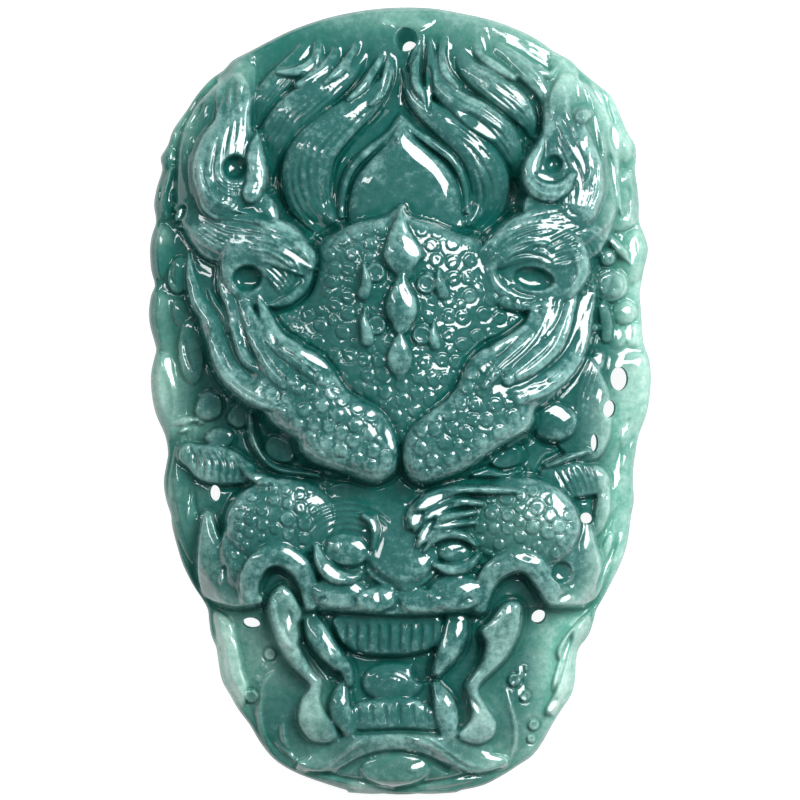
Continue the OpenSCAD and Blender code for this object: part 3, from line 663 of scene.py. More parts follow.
SHIELD = (
    (0, 15.4), (1, 14.6), (3, 14), (4.8, 13.2), (6.2, 12.8), (6.9, 11.2), (7.2, 9.6), (9, 8.6), (10, 7.6),
    (9.8, 6.4), (8.4, 5.3), (6.8, 4.8), (5.8, 3.5), (4.8, 1.8), (3.6, 0), (1.8, -1.6), (0.1, -3.6),
    (-0.5, -2.4), (-1.5, -1), (-2.8, -0.2), (-4.6, 1.2), (-5.6, 2.9), (-6.8, 3.9), (-8.6, 4.6),
    (-10.4, 6.6), (-9, 7.2), (-7.2, 8.4), (-6.6, 10.4), (-6.4, 12.4), (-5.2, 13.3), (-3.6, 14.1),
    (-1.2, 14.7),
)
KEEL = (
    # three leaves down the shield's middle; rows are x, y, half width, height
    ((0.1, 15.3, 0.05, 12.8), (0.05, 14.2, 0.45, 13.2), (0.05, 12.9, 1.05, 13.5), (0.15, 11.8, 1.5, 13.7),
     (0.2, 10.9, 1.2, 13.6), (0.3, 10.2, 0.7, 13.3)),
    ((0.25, 10.3, 0.1, 13.3), (0.1, 9.2, 0.6, 13.7), (0.1, 8, 1.15, 13.9), (0.15, 6.9, 1.2, 13.9),
     (0.15, 6, 0.7, 13.6)),
    ((0.05, 5.5, 0.1, 13.3), (0, 4.5, 0.6, 13.6), (0, 3.5, 1, 13.6), (0, 2.6, 0.9, 13.4),
     (0, 1.9, 0.4, 13)),
)
SPIKES = (
    # pointed scales beside the keel; rows are x, y, half width, height
    ((-2.9, 10.8, 0.04, 13.1), (-2.75, 10, 0.2, 13.3), (-2.7, 9.2, 0.38, 13.3), (-2.9, 8.5, 0.5, 13.1)),
    ((-2.8, 7.3, 0.04, 13.1), (-2.9, 6.4, 0.22, 13.3), (-2.7, 5.5, 0.4, 13.3), (-2.6, 4.8, 0.5, 13.1)),
    ((3.1, 10.4, 0.04, 12.9), (3.05, 9.8, 0.2, 13.1), (3.2, 9.2, 0.38, 13.1), (3.4, 8.6, 0.5, 12.9)),
    ((2.7, 6.2, 0.04, 13), (2.65, 5.5, 0.2, 13.2), (2.7, 4.9, 0.35, 13.2), (2.8, 4.4, 0.45, 13)),
)
STUDS = ((-1.95, 10.2), (-1.9, 6), (2.1, 9.3), (1.75, 5.2))
SHIELD_RINGS = (
    (-1.6, 13.7), (-2.5, 13.6), (-3.5, 13.3), (-4.6, 12.8), (-2.4, 12.5), (-3.9, 11.7), (-2.5, 11.4),
    (-5.2, 10.5), (-5.8, 11.6), (-5.5, 9.5), (-4.2, 10.4), (-4.2, 8.3), (-4.2, 6.9), (-6.4, 6), (-4.6, 5.4),
    (-6.6, 4.6), (1.7, 13.6), (3, 13.4), (4.2, 12.5), (2.5, 12.4), (4.2, 11), (2.9, 11.2), (4.3, 9.7),
    (5.4, 9.8), (5.6, 11.2), (3.9, 6.7), (3.9, 5.2), (6.7, 6.9), (6.2, 5.1), (5.6, 8.3), (7.3, 8),
    (8.4, 7.7), (8, 6.6), (5, 4.4), (3.9, 8), (5, 6.6), (3.4, 3.2), (4.5, 3), (-5.2, 7.6), (-7.4, 6.8),
    (-8.4, 5.8), (-5.3, 3.6), (-4, 3.6), (-2.6, 2), (-1.4, 2), (-1.7, 3.1), (-3.3, 1), (-2.4, 0.7),
    (-1.2, 0.6), (1.4, 0.5), (2.4, 0), (1.2, -0.9), (-0.4, -1.3), (2, 3.1), (0.1, 1.2), (0.2, 0),
    (-2.9, 3.2), (1.5, 1.8), (2.7, 1.6), (3.6, 1.7),
)


def carve_shield(stone):
    """The forehead shield with its keel, spikes, studs and ring scales."""
    stone.plate(SHIELD, 12.7, slope=(0, -0.02), bend=(0.03, 0.003), edge=1.2, drop=0.9)
    stone.rings(SHIELD_RINGS, 0.6)
    stone.fill_rings(SHIELD, SHIELD_RINGS + STUDS, 0.9, 0.4, 0.6)
    for x0, y0 in STUDS:
        stone.ring(x0, y0, 0.9, 0.4, 0.2)
    stone.limbs(SPIKES, crown=0.6, blend=0.06)
    stone.limbs(KEEL, crown=0.42, blend=0.06)


FACETS = (
    # outline and height
    (((-13, -0.3), (-13.8, -1.5), (-13, -2.2), (-12.2, -1.8), (-12.2, -0.7)), 8.2),
    (((-15.6, 0.6), (-16.4, -0.8), (-15.6, -1.6), (-14.4, -1.2), (-14.4, 0.2)), 8),
    (((-14.6, -2.2), (-15.6, -3), (-14.8, -3.8), (-13.6, -3.6), (-13.4, -2.6)), 8),
)


def carve_temples(stone):
    """Soft square facets beside the brow, with short strokes below them."""
    stone.plates(FACETS, edge=0.5, drop=0.3)
    stone.limb(((-16.8, -4.4, 0.9, 8), (-15.4, -5, 1.5, 8.6), (-13.8, -5.4, 1.4, 8.9),
        (-12.4, -5.8, 0.9, 9.2)), crown=0.4)
    stone.comb(((-17.2, -3.6), (-16.6, -4.9), (-16.6, -6.6)), ((-13.2, -4), (-12.4, -5.3),
        (-12.6, -6.9)), 7, width=0.14, depth=0.22)
    stone.limb(((-12.7, -5.2, 0.15, 9.4), (-12.1, -5.9, 0.3, 9.9), (-11.2, -6.4, 0.4, 10.4),
        (-10.3, -6.5, 0.2, 10.6)), crown=0.9)
    stone.limb(((11.8, -5.3, 0.12, 9.4), (13.4, -4.65, 0.2, 9.6), (15, -4.1, 0.15, 9)), crown=0.9)
    stone.limb(((12.2, -6.2, 1, 9), (13.8, -6.4, 1.4, 9.2), (15.4, -6.4, 1.2, 8.6)), crown=0.4)
    stone.comb(((12.2, -5.6), (12.9, -6.8), (13.5, -7.8)), ((15.3, -4.9), (15.8, -6.2), (16, -7.4)), 6,
        width=0.14, depth=0.25)
    stone.limb(((16.2, -6.8, 0.4, 8.2), (16.3, -8.2, 0.6, 8.4), (15.9, -9.8, 0.5, 8.2),
        (15.3, -11, 0.3, 8)), crown=0.6)


GAP = (
    (-12, -2.4, 1, 8.2), (-9.6, -4.4, 1.3, 8), (-6, -6.6, 0.9, 8.4), (-2.4, -7.2, 0.6, 8.8),
    (2.4, -7.2, 0.6, 8.8), (6.2, -6.6, 0.8, 8.6), (9.4, -4.8, 1.2, 8.2), (11.8, -3.6, 1, 8.2),
)
STRAND_BASES = (
    # the mass that the strands over each brow plate rise from: x, y, half width, height
    ((-15.6, 11.4, 1.2, 7.6), (-14.6, 8.8, 2, 8.7), (-13.4, 6, 2.4, 9.8), (-12.2, 3.4, 2.4, 10.9),
     (-10.2, 1.4, 2.1, 12.2)),
    ((14.4, 10.4, 1.2, 8.6), (13.6, 8, 2, 9.4), (12.6, 5.6, 2.2, 10.3), (11.4, 3.2, 2.2, 11.4),
     (9.6, 1.4, 1.9, 12.6)),
)
STRANDS_LEFT = (
    # flame strands that run into the brow plate; rows are x, y, half width, height
    ((-16.9, 11.7, 0.05, 7.8), (-16.7, 9.8, 0.4, 8.4), (-16.1, 7.8, 0.55, 9), (-14.9, 6, 0.6, 9.8),
     (-14.5, 4.4, 0.75, 10.4), (-13.8, 2.7, 0.85, 11), (-12.6, 1.3, 0.85, 12), (-11, 0.3, 0.9, 12.9),
     (-9, -0.6, 0.5, 13.3)),
    ((-14.3, 10.9, 0.05, 9.4), (-14.1, 9.2, 0.45, 9.9), (-13.4, 7.6, 0.6, 10.4), (-13, 6, 0.6, 10.9),
     (-12.8, 4.6, 0.5, 11.3), (-12.2, 3.2, 0.5, 11.7), (-10.9, 2.2, 0.4, 12.3)),
    ((-13.2, 9.2, 0.05, 10), (-12.6, 7.8, 0.4, 10.6), (-12, 6.4, 0.6, 11.2), (-11.4, 4.8, 0.7, 11.9),
     (-10.4, 3.2, 0.9, 12.7), (-9.4, 1.8, 0.8, 13.3), (-8, 0.8, 0.4, 13.7)),
    ((-11.4, 8.4, 0.05, 10.6), (-10.9, 7, 0.4, 11.2), (-10.4, 5.6, 0.6, 11.9), (-9.6, 4.4, 0.8, 12.8),
     (-8.2, 3.4, 0.8, 13.5), (-6.4, 1.6, 0.4, 13.9)),
    ((-15.3, 8.8, 0.05, 8.9), (-14.8, 7.8, 0.25, 9.3), (-14, 6.6, 0.3, 9.9), (-13.8, 5.4, 0.1, 10.3)),
    ((-12.2, 7.9, 0.05, 10.6), (-11.7, 6.6, 0.25, 11.2), (-11, 5.2, 0.3, 11.9), (-10.4, 4.3, 0.1, 12.3)),
)
STRANDS_RIGHT = (
    ((15.6, 8.6, 0.05, 8.6), (15, 6.8, 0.45, 9.4), (14.5, 5, 0.6, 10.1), (13.9, 3.6, 0.7, 10.8),
     (12.8, 2.2, 0.8, 11.9), (11.2, 1, 0.8, 12.9), (9.4, 0, 0.4, 13.3)),
    ((14.7, 10.2, 0.05, 9.4), (13.9, 8.8, 0.4, 10.1), (13.4, 7.2, 0.55, 10.8), (12.9, 5.8, 0.7, 11.4),
     (12, 4.2, 0.8, 12.2), (10.4, 2.8, 0.8, 13.2), (8.6, 1.6, 0.4, 13.6)),
    ((12.7, 9.4, 0.05, 10.2), (12, 8.2, 0.4, 10.8), (11.6, 6.8, 0.55, 11.4), (10.9, 5.3, 0.7, 12.1),
     (9.6, 3.9, 0.8, 13), (8, 2.6, 0.6, 13.6), (6.8, 1.2, 0.3, 13.9)),
    ((11.4, 8.4, 0.05, 10.6), (10.8, 7.2, 0.3, 11.2), (10.3, 5.9, 0.4, 11.8), (9.2, 4.9, 0.45, 12.5),
     (7.6, 4, 0.35, 13.2)),
    ((13.4, 9.4, 0.05, 10), (12.8, 8, 0.25, 10.7), (12.3, 6.6, 0.3, 11.3), (11.7, 5.2, 0.1, 11.8)),
)
PLATE_LEFT = (
    (-8, 4.2), (-6.6, 3.7), (-5.3, 2.3), (-4.6, 1.2), (-3.8, 0.4), (-2.8, -0.2), (-1.9, -0.6), (-1.2, -1.2),
    (-0.55, -2.2), (-0.15, -3.6), (-0.2, -5.2), (-0.9, -6.2), (-2.2, -6.6), (-4, -6), (-5.6, -5.4),
    (-6.8, -5), (-7.8, -4.2), (-8.2, -3.2), (-9.2, -2.5), (-10.1, -1.9), (-10.9, -1), (-11.8, -0.2),
    (-12.6, 0.6), (-12.3, 1.8), (-11.4, 2.8), (-10.2, 3.6), (-9.2, 4.1),
)
PLATE_RIGHT = (
    (7.6, 4.3), (6.2, 3.8), (5.2, 2.6), (4.7, 1.4), (4.2, 0.6), (3.4, -0.2), (2.6, -0.7), (1.7, -1.4),
    (0.9, -2.1), (0.3, -3.2), (0.2, -4.8), (0.8, -6.2), (2, -6.7), (4, -6.1), (6, -5.1), (7.2, -4.2),
    (8.4, -3.4), (9.8, -2.8), (10.6, -1.8), (10.8, -0.8), (11.9, 0), (12.8, 0.9), (12.6, 1.8), (11.6, 2.6),
    (10.4, 3.4), (9, 4),
)
PLATE_RINGS_LEFT = (
    (-6.7, 2.8), (-6, 1.7), (-5.5, 0.6), (-4.6, 0), (-3.4, -0.75), (-2.3, -1.25), (-1.35, -2.3),
    (-1.15, -3.3), (-1.1, -4.6), (-2.1, -4.1), (-2.4, -2.7), (-3.6, -2.1), (-3.8, -3.3), (-4.7, -2.6),
    (-5.7, -2.1), (-3.4, -4.8), (-4.7, -4), (-5.9, -3.4), (-6.9, -1.9), (-6.3, -0.5), (-5.1, -1.3),
    (-2.4, -5.3), (-8.6, 1.7), (-9.7, -1.1), (-9, 0.2), (-7.7, -0.8), (-7.1, 0.6), (-7.3, -3.1), (-8.3, -2),
    (-7.6, 2), (-10.3, 0.4), (-4.8, -5.2), (-6.5, -4.6),
)
PLATE_RINGS_RIGHT = (
    (5.7, 2.1), (5.4, 1), (6.6, 0.8), (4.9, -0.2), (7.6, -0.4), (6.9, -1.6), (8, -2.6), (9, -1.3),
    (6.5, -3.3), (5.3, -2.6), (5.2, -4.4), (3.5, -3.4), (1.6, -3.9), (0.75, -3.1), (2.6, -4.9), (1.3, -5.2),
    (4, -4.7), (2.7, -1.3), (2.8, -2.4), (6, -0.4), (7.7, 1.8), (8.6, 1.6), (3.9, -1.2), (4.2, -2.3),
    (1.7, -2.4), (5.9, -1.6), (3, -5.9), (1.9, -6.1), (6.8, 2.6),
)


def carve_brow_plates(stone):
    """The scaled brow plates over their shadow gap, the strands that run into them, and the beads below."""
    stone.limb(GAP, crown=0.4, sunk=True, blend=0.5)
    stone.dome(14.2, -0.4, 2.6, 4.6, 8.7, 0.2, 10, blend=0.8)
    stone.dome(-9.5, -3.9, 1.3, 1.1, 9.2, 0.6, blend=0.4)
    stone.dome(12.4, -1.8, 1.75, 1.5, 9.9, 0.5, blend=0.5)
    stone.dome(8.4, -4.5, 1.25, 1, 9.8, 0.7, blend=0.4)
    stone.limb(((-12, -1.2, 0.15, 9), (-11.8, -3, 0.18, 9), (-10.8, -4.8, 0.18, 9), (-9, -5.8, 0.18, 9.2),
        (-6.6, -6, 0.12, 9.2)), crown=0.8)
    stone.limb(((5.9, -5.9, 0.15, 9.8), (7.1, -5.85, 0.2, 10), (8.2, -6.05, 0.2, 10),
        (9.3, -5.8, 0.15, 9.8)), crown=0.9)
    stone.limbs(STRAND_BASES, crown=0.25, blend=0.6)
    stone.plate(PLATE_LEFT, 13.7, slope=(0.12, 0.04), bend=(0.022, 0.015), edge=0.9, drop=0.7,
        facet=(1.2, 0.5))
    stone.plate(PLATE_RIGHT, 13.7, slope=(-0.14, 0), bend=(0.022, 0.015), edge=0.9, drop=0.7,
        facet=(1.1, 0.3))
    stone.limbs(STRANDS_LEFT, crown=0.45, strands=4, depth=0.18, blend=0.4)
    stone.limbs(STRANDS_RIGHT, crown=0.45, strands=4, depth=0.18, blend=0.4)
    stone.limb(((8.4, -0.1, 0.1, 13.3), (9.2, 0.5, 0.2, 13.3), (10.4, 1.1, 0.22, 13),
        (11.8, 1.4, 0.22, 12.4), (13, 1.9, 0.22, 11.6), (14.2, 3, 0.12, 10.8)), crown=0.9, blend=0.2)
    stone.rings(PLATE_RINGS_LEFT, 0.62)
    stone.rings(PLATE_RINGS_RIGHT, 0.62)
    stone.fill_rings(PLATE_LEFT[2:21], PLATE_RINGS_LEFT, 0.9, 0.42, 0.6)
    stone.fill_rings(PLATE_RIGHT[2:20], PLATE_RINGS_RIGHT, 0.9, 0.42, 0.6)


FACE_BASE = (
    (-15.6, -8), (-16, -11.8), (-15.4, -15), (-14, -16.4), (-10.4, -16.4), (-4, -17.2), (4, -17.2),
    (10.4, -16.6), (14.2, -16.5), (15.6, -15.2), (16, -12), (15.6, -8.4), (12.6, -6.6), (-12.4, -6.6),
)
CHEEKS = (
    # x, y, radius across, radius up, height, crown, turn in degrees
    (-9.6, -9.6, 4.3, 3.3, 10.9, 0.35, 8), (9.8, -9.8, 4.6, 3.6, 11.2, 0.4, -8),
)
CHEEK_SIDES = ((-12.8, -12.2, 1.6, 3, 10), (12.6, -12.4, 1.7, 3, 10))
CHEEK_RING_SCALE = 1.05
CHEEK_RING_RISE = 0.13
CHEEK_RINGS_LEFT = (
    (-11, -6.9, 0.5), (-10.2, -6.9, 0.4), (-11.1, -8.8, 0.45), (-9, -9.5, 0.65), (-7.6, -9.85, 0.65),
    (-12.8, -9.2, 0.4), (-12.9, -10.1, 0.4), (-11.9, -7.8, 0.4), (-10.1, -8, 0.5), (-9, -8.3, 0.5),
    (-8, -8.6, 0.5), (-8, -7.6, 0.45), (-9.1, -7.2, 0.4), (-12, -9.6, 0.45), (-11, -10, 0.5),
    (-10, -10.3, 0.5), (-8.9, -10.8, 0.5), (-7.7, -11.1, 0.5), (-6.9, -8.8, 0.45), (-6.8, -12.1, 0.45),
    (-12.9, -8.2, 0.35), (-12.1, -10.7, 0.4), (-11.1, -11, 0.35), (-7.2, -7.2, 0.4), (-12.4, -11.7, 0.35),
    (-12.9, -11, 0.3), (-13.2, -12.4, 0.35), (-13, -13.4, 0.35), (-7.9, -12.1, 0.4),
)
CHEEK_RINGS_RIGHT = (
    (8.5, -7.8, 0.65), (7.3, -9, 0.6), (8.6, -9.2, 0.55), (9.7, -7.6, 0.5), (10.6, -7.3, 0.5),
    (11, -8.6, 0.65), (12.1, -9.2, 0.6), (10.4, -9.2, 0.5), (13.5, -9.2, 0.45), (10.6, -10.2, 0.6),
    (11.8, -10.6, 0.6), (12.7, -10.1, 0.6), (8.6, -10.3, 0.5), (7.5, -10.3, 0.5), (6.4, -10.2, 0.5),
    (6.9, -12.6, 0.7), (7.9, -11.6, 0.5), (6.3, -13.9, 0.6), (9.6, -8.7, 0.4), (9.5, -9.8, 0.4),
    (9.6, -11, 0.5), (6.3, -11.3, 0.5), (12, -8, 0.4), (13.6, -10.4, 0.4), (12.9, -11.3, 0.45),
    (11, -11.8, 0.5), (12.4, -12.3, 0.45), (13, -13.2, 0.35), (9.8, -12, 0.4), (7.2, -8, 0.4),
    (12.4, -13.4, 0.35),
)
SOCKETS = ((-4.3, -12, 2.7, 2, 10.6), (4.3, -12.2, 2.3, 1.6, 10.6))
MUZZLE = (
    (-7.2, -15.4), (-6.2, -14.4), (-4.4, -14.3), (-2.6, -15), (-0.8, -15.6), (1, -15.6), (2.8, -14.9),
    (4.6, -14.2), (6.2, -14.7), (6.6, -15.9), (5.6, -17), (3, -17.5), (0, -17.7), (-3, -17.5), (-6, -17.1),
)
MUZZLE_DOMES = (
    # x, y, radius across, radius up, height, crown, turn in degrees
    (-4.9, -15.4, 2.1, 1.3, 11, 0.45), (4.5, -15.4, 2.2, 1.4, 11.1, 0.45),
    (-1.9, -16, 1.7, 1, 11.1, 0.4, 15), (1.6, -16.1, 1.9, 1, 10.9, 0.4, -15),
)
NOSE = (
    (-1.6, -9.4), (-2.1, -11), (-2.7, -12.6), (-2.6, -13.8), (-1.4, -14.8), (0.2, -15.2), (1.8, -14.8),
    (2.9, -13.7), (3, -12.4), (2.3, -10.8), (1.5, -9.4), (0.6, -8.4), (-0.6, -8.4),
)
NOSE_CREASES = (
    ((-3.5, -12.6), (-2.5, -13.4), (-1.5, -14.3), (0.1, -15.1)),
    ((3.7, -12.5), (2.8, -13.4), (1.9, -14.3), (0.6, -15)),
)
EYE_BAGS = (
    ((-6.7, -11.8, 0.2, 11.1), (-6.3, -13, 0.5, 11.5), (-5.4, -14, 0.6, 11.7), (-4.2, -14.3, 0.45, 11.6),
     (-3.4, -14.1, 0.2, 11.4)),
    ((2.8, -13.2, 0.2, 11.2), (4, -13.6, 0.4, 11.4), (5.4, -13.3, 0.4, 11.3), (6.2, -12.5, 0.2, 11.1)),
)
BROWS = (
    # strands over the right eye, top one first; rows are x, y, half width, height
    ((0.7, -10.2, 0.2, 11.5), (1.1, -9.2, 0.6, 11.9), (2.3, -8.1, 0.65, 12.2), (3.8, -7.4, 0.45, 12.1),
     (5.6, -7.15, 0.25, 12), (9.2, -7.3, 0.1, 11.8)),
    ((1.2, -10.4, 0.15, 11.7), (1.9, -9.4, 0.4, 12), (3.2, -8.6, 0.42, 12.1), (5, -8.15, 0.3, 12),
     (6.5, -8.3, 0.1, 11.7)),
    ((1.5, -10.9, 0.12, 11.7), (2.4, -10, 0.34, 12), (3.7, -9.4, 0.36, 12.1), (5.9, -9, 0.12, 11.8)),
    ((1.8, -11.4, 0.1, 11.7), (2.8, -10.5, 0.3, 11.9), (4, -10, 0.3, 11.9), (5.9, -9.8, 0.1, 11.7)),
    ((1.9, -12.1, 0.1, 11.4), (2.7, -11.2, 0.3, 11.7), (3.8, -10.75, 0.34, 11.8), (5.1, -10.9, 0.3, 11.7),
     (6, -11.6, 0.12, 11.4)),
)
FOLDS = (
    ((-3.9, -15.6), (-3.3, -16.6), (-2.6, -17.3)), ((-1.8, -17.2), (-1, -16.9), (-0.2, -16.7)),
    ((1.9, -17.2), (2.8, -16.9), (3.7, -16.5)), ((-6.7, -16.3), (-6.3, -15.9), (-5.8, -15.8)),
    ((4.4, -16.6), (5.2, -16), (6, -15.8)), ((-0.4, -15.4), (-0.2, -16), (0.1, -16.5)),
)


def carve_face(stone):
    """Forehead base, eyes, brows, nose, cheeks and muzzle."""
    stone.plate(FACE_BASE, 9.4, bend=(0.008, 0.02), edge=2, drop=1.2, blend=0.6)
    stone.dome(0, -10.8, 9, 4.9, 10.6, 0.4, blend=0.8)
    stone.domes(CHEEKS, blend=1)
    stone.domes(CHEEK_SIDES, crown=0.5, blend=0.8)
    for x0, y0, r in CHEEK_RINGS_LEFT + CHEEK_RINGS_RIGHT:
        stone.ring(x0, y0, CHEEK_RING_SCALE * r, CHEEK_RING_RISE, CHEEK_RING_RISE)
    # sockets, muzzle, then the broad nose between them
    stone.domes(SOCKETS, crown=0.2, sunk=True, blend=0.5)
    stone.plate(MUZZLE, 10.7, edge=1.8, drop=0.9, blend=1.2)
    stone.domes(MUZZLE_DOMES, blend=1.2)
    stone.plate(NOSE, 11.1, slope=(0, -0.11), bend=(0.02, 0.02), edge=1.8, drop=0.6, blend=0.8)
    stone.lines(NOSE_CREASES, width=0.3, depth=0.4)
    # eyes
    stone.dome(-4.3, -12, 1.8, 1.3, 11.1, 0.35, -8, blend=0.4)
    stone.dome(-5, -11.8, 0.3, 0.42, 11.3, 0.8)
    stone.dome(4.3, -12.2, 1.3, 0.85, 11.1, 0.5, -6, blend=0.25)
    for r in (2, 2.5, 3, 3.5, 4):
        stone.arc_line((-4.2, -12.2, 1.15 * r, r, 155, 35), width=0.13, depth=-0.16)
    stone.limb(((-2.9, -9.3, 0.15, 11.3), (-2.3, -9.7, 0.3, 11.5), (-2, -10.5, 0.3, 11.5),
        (-2.2, -11.8, 0.15, 11.3)), crown=0.8, blend=0.25)
    stone.limbs(EYE_BAGS, crown=0.5, blend=0.4)
    stone.limbs(BROWS, crown=0.9, blend=0.2)
    stone.lines(FOLDS, width=0.15, depth=0.25)


EAR_CURLS = (
    ((-15.4, -9.4, 0.4, 8.6), (-15.2, -11.4, 0.9, 9.2), (-15, -13.4, 1.1, 9.5), (-14.4, -15, 1, 9.5),
     (-13, -15.8, 0.75, 9.5), (-11.4, -15.9, 0.4, 9.4)),
    ((14.8, -9.6, 0.4, 8.8), (14.8, -11.4, 0.8, 9.3), (15, -13.2, 1, 9.6), (14.8, -14.8, 1, 9.6),
     (13.6, -15.8, 0.9, 9.6), (12, -16, 0.4, 9.4)),
)
LOOPS = (
    # the moustache; rows are x, y, half width, height
    ((-7.2, -16.4, 0.5, 10.4), (-7.3, -14.9, 0.75, 10.8), (-8, -13.4, 0.85, 11.2), (-9.6, -12.4, 0.9, 11.3),
     (-11.1, -12.8, 0.85, 11.2), (-12, -14.2, 0.8, 10.8), (-12.1, -15.8, 0.7, 10)),
    ((6.4, -16.6, 0.5, 10.4), (6.7, -15, 0.75, 10.8), (7.5, -13.7, 0.85, 11.2), (9, -12.9, 0.9, 11.4),
     (10.5, -13.1, 0.9, 11.4), (11.6, -14.4, 0.85, 11), (12.4, -15.6, 0.85, 10.4),
     (13.6, -15.8, 0.75, 9.8)),
)
LOOP_HOLLOWS = ((-9.6, -14.9, 1, 1.5, 8.8), (9, -15.4, 1.1, 1.4, 8.8))
CHEEK_CREASES = (
    ((-15.8, -16.1, 0.15, 6.4), (-14.4, -16.9, 0.2, 6.8), (-12.6, -17, 0.2, 7.6),
     (-10.6, -16.6, 0.15, 8.4)),
    ((11, -16.6, 0.15, 8.2), (12.2, -17, 0.2, 7.4), (14.2, -17, 0.2, 6.8), (15.8, -16.7, 0.15, 6.4)),
)


def carve_moustache(stone):
    """Moustache loops, and the ear curls outside them."""
    stone.domes(LOOP_HOLLOWS, crown=0.4, sunk=True, blend=0.3)
    stone.limbs(EAR_CURLS, crown=0.5, blend=0.4)
    stone.limbs(LOOPS, crown=0.5, strands=4, depth=0.12, blend=0.3)
    stone.dome(13, -13.8, 0.75, 0.8, 9.2, 0.4, sunk=True)
    stone.limbs(CHEEK_CREASES, crown=0.4, sunk=True)


JAW_BASE = (
    (-13.4, -16.8), (-13.4, -20), (-12.2, -24), (-10.2, -27.4), (-7, -29.4), (0, -30.4), (7.2, -29.4),
    (10.2, -27.2), (12.2, -24), (13, -20.4), (13.2, -16.8),
)
JAW_LEAVES = (
    # outline, height, slope across and up
    (((-14.8, -17), (-13.6, -17.6), (-13, -19.4), (-12.6, -21.6), (-12.2, -23), (-12.8, -24.6),
     (-13.6, -23.4), (-14.2, -21.6), (-14.5, -19.4)), 7.6, (0.1, 0)),
    (((15, -17.2), (13.6, -18.4), (12.6, -20), (13, -21.6), (12.4, -23.4), (11.8, -24.8), (12.8, -25),
     (13.8, -23), (14.1, -21.2), (14.2, -19.6), (15, -18.4)), 7.6, (-0.1, 0)),
)
JAW_RINGS = ((9.15, -22.4, 0.6), (10, -23.7, 0.5), (10.7, -26, 0.5), (10.5, -27.1, 0.4), (9.9, -21.5, 0.35))
LIP_BAND = (
    (-7.8, -29.2, 0.4, 7.4), (-6, -28.8, 0.9, 7.9), (-4.2, -28, 1.1, 8.5), (-2.2, -27.3, 1.1, 8.9),
    (0.1, -27, 1.1, 9), (2.4, -27.4, 1.1, 8.9), (4.4, -28.2, 1.1, 8.5), (6.2, -28.9, 0.9, 7.9),
    (8.2, -28.9, 0.4, 7.4),
)
CHIN_EDGES = (
    ((-6.4, -30.1, 0.15, 6.6), (-4.4, -30.5, 0.4, 6.9), (-2.4, -30.8, 0.4, 7), (-0.6, -31, 0.2, 6.6)),
    ((1.4, -30.9, 0.2, 6.6), (3.2, -30.6, 0.4, 6.9), (5.2, -30.3, 0.3, 6.8), (6.6, -30.2, 0.1, 6.4)),
)
JAW_LINES = (
    # raised lines round the lower lip and on the jaws
    ((0.2, -26.5), (2, -26.9), (3.6, -27.9), (5.2, -29), (7.2, -29.6)),
    ((0.2, -27), (2, -27.4), (3.5, -28.4), (5, -29.5), (6.6, -29.9)),
    ((7.3, -29.8), (8.6, -29), (9.2, -27.2), (9, -25), (8.4, -23)),
    ((-7, -29.8), (-8.6, -28.6), (-9.3, -27), (-9.4, -25.4)),
    ((-6.4, -29.5), (-5.4, -28.9), (-4.1, -27.9), (-2.6, -27)),
    ((-9.8, -21.5), (-10.9, -22.7), (-11.2, -24.2), (-11.1, -26.3), (-9.9, -28.9)),
)


def carve_jaws(stone):
    """The jaws with their leaf strips and rings, the lower lip and the chin."""
    stone.plate(JAW_BASE, 8, slope=(0, 0.05), bend=(0.008, 0), edge=2.4, drop=1, blend=0.8)
    stone.plates(JAW_LEAVES, edge=0.6, drop=0.4)
    stone.ring(-10.4, -20.35, 0.55, 0.4, 0.3)
    stone.ring(-11.9, -23.7, 0.6, 0.4, 0.3)
    stone.rings(((-10.9, -21.4), (-11.4, -22.3), (-12.5, -19.2), (-11.3, -25.2)), 0.32)
    for x0, y0, r in JAW_RINGS:
        stone.ring(x0, y0, r, 0.5, 0.35)
    stone.dome(0, -28.2, 7.4, 2.4, 8, 0.4, blend=0.6)
    stone.limb(LIP_BAND, crown=0.4, blend=0.3)
    stone.limb(((-5, -30, 0.2, 7), (-3.4, -29, 0.25, 7.8), (-1.6, -28.4, 0.25, 8.2),
        (0.2, -28.3, 0.25, 8.2), (2, -28.7, 0.25, 8), (3.8, -29.6, 0.2, 7.2)), crown=0.3, sunk=True,
        blend=0.3)
    stone.dome(-0.4, -29.5, 2.7, 1.3, 8.6, 0.45, blend=0.2)
    stone.lines(JAW_LINES, width=0.18, depth=-0.34)
    stone.limbs(CHIN_EDGES, crown=0.7, blend=0.3)


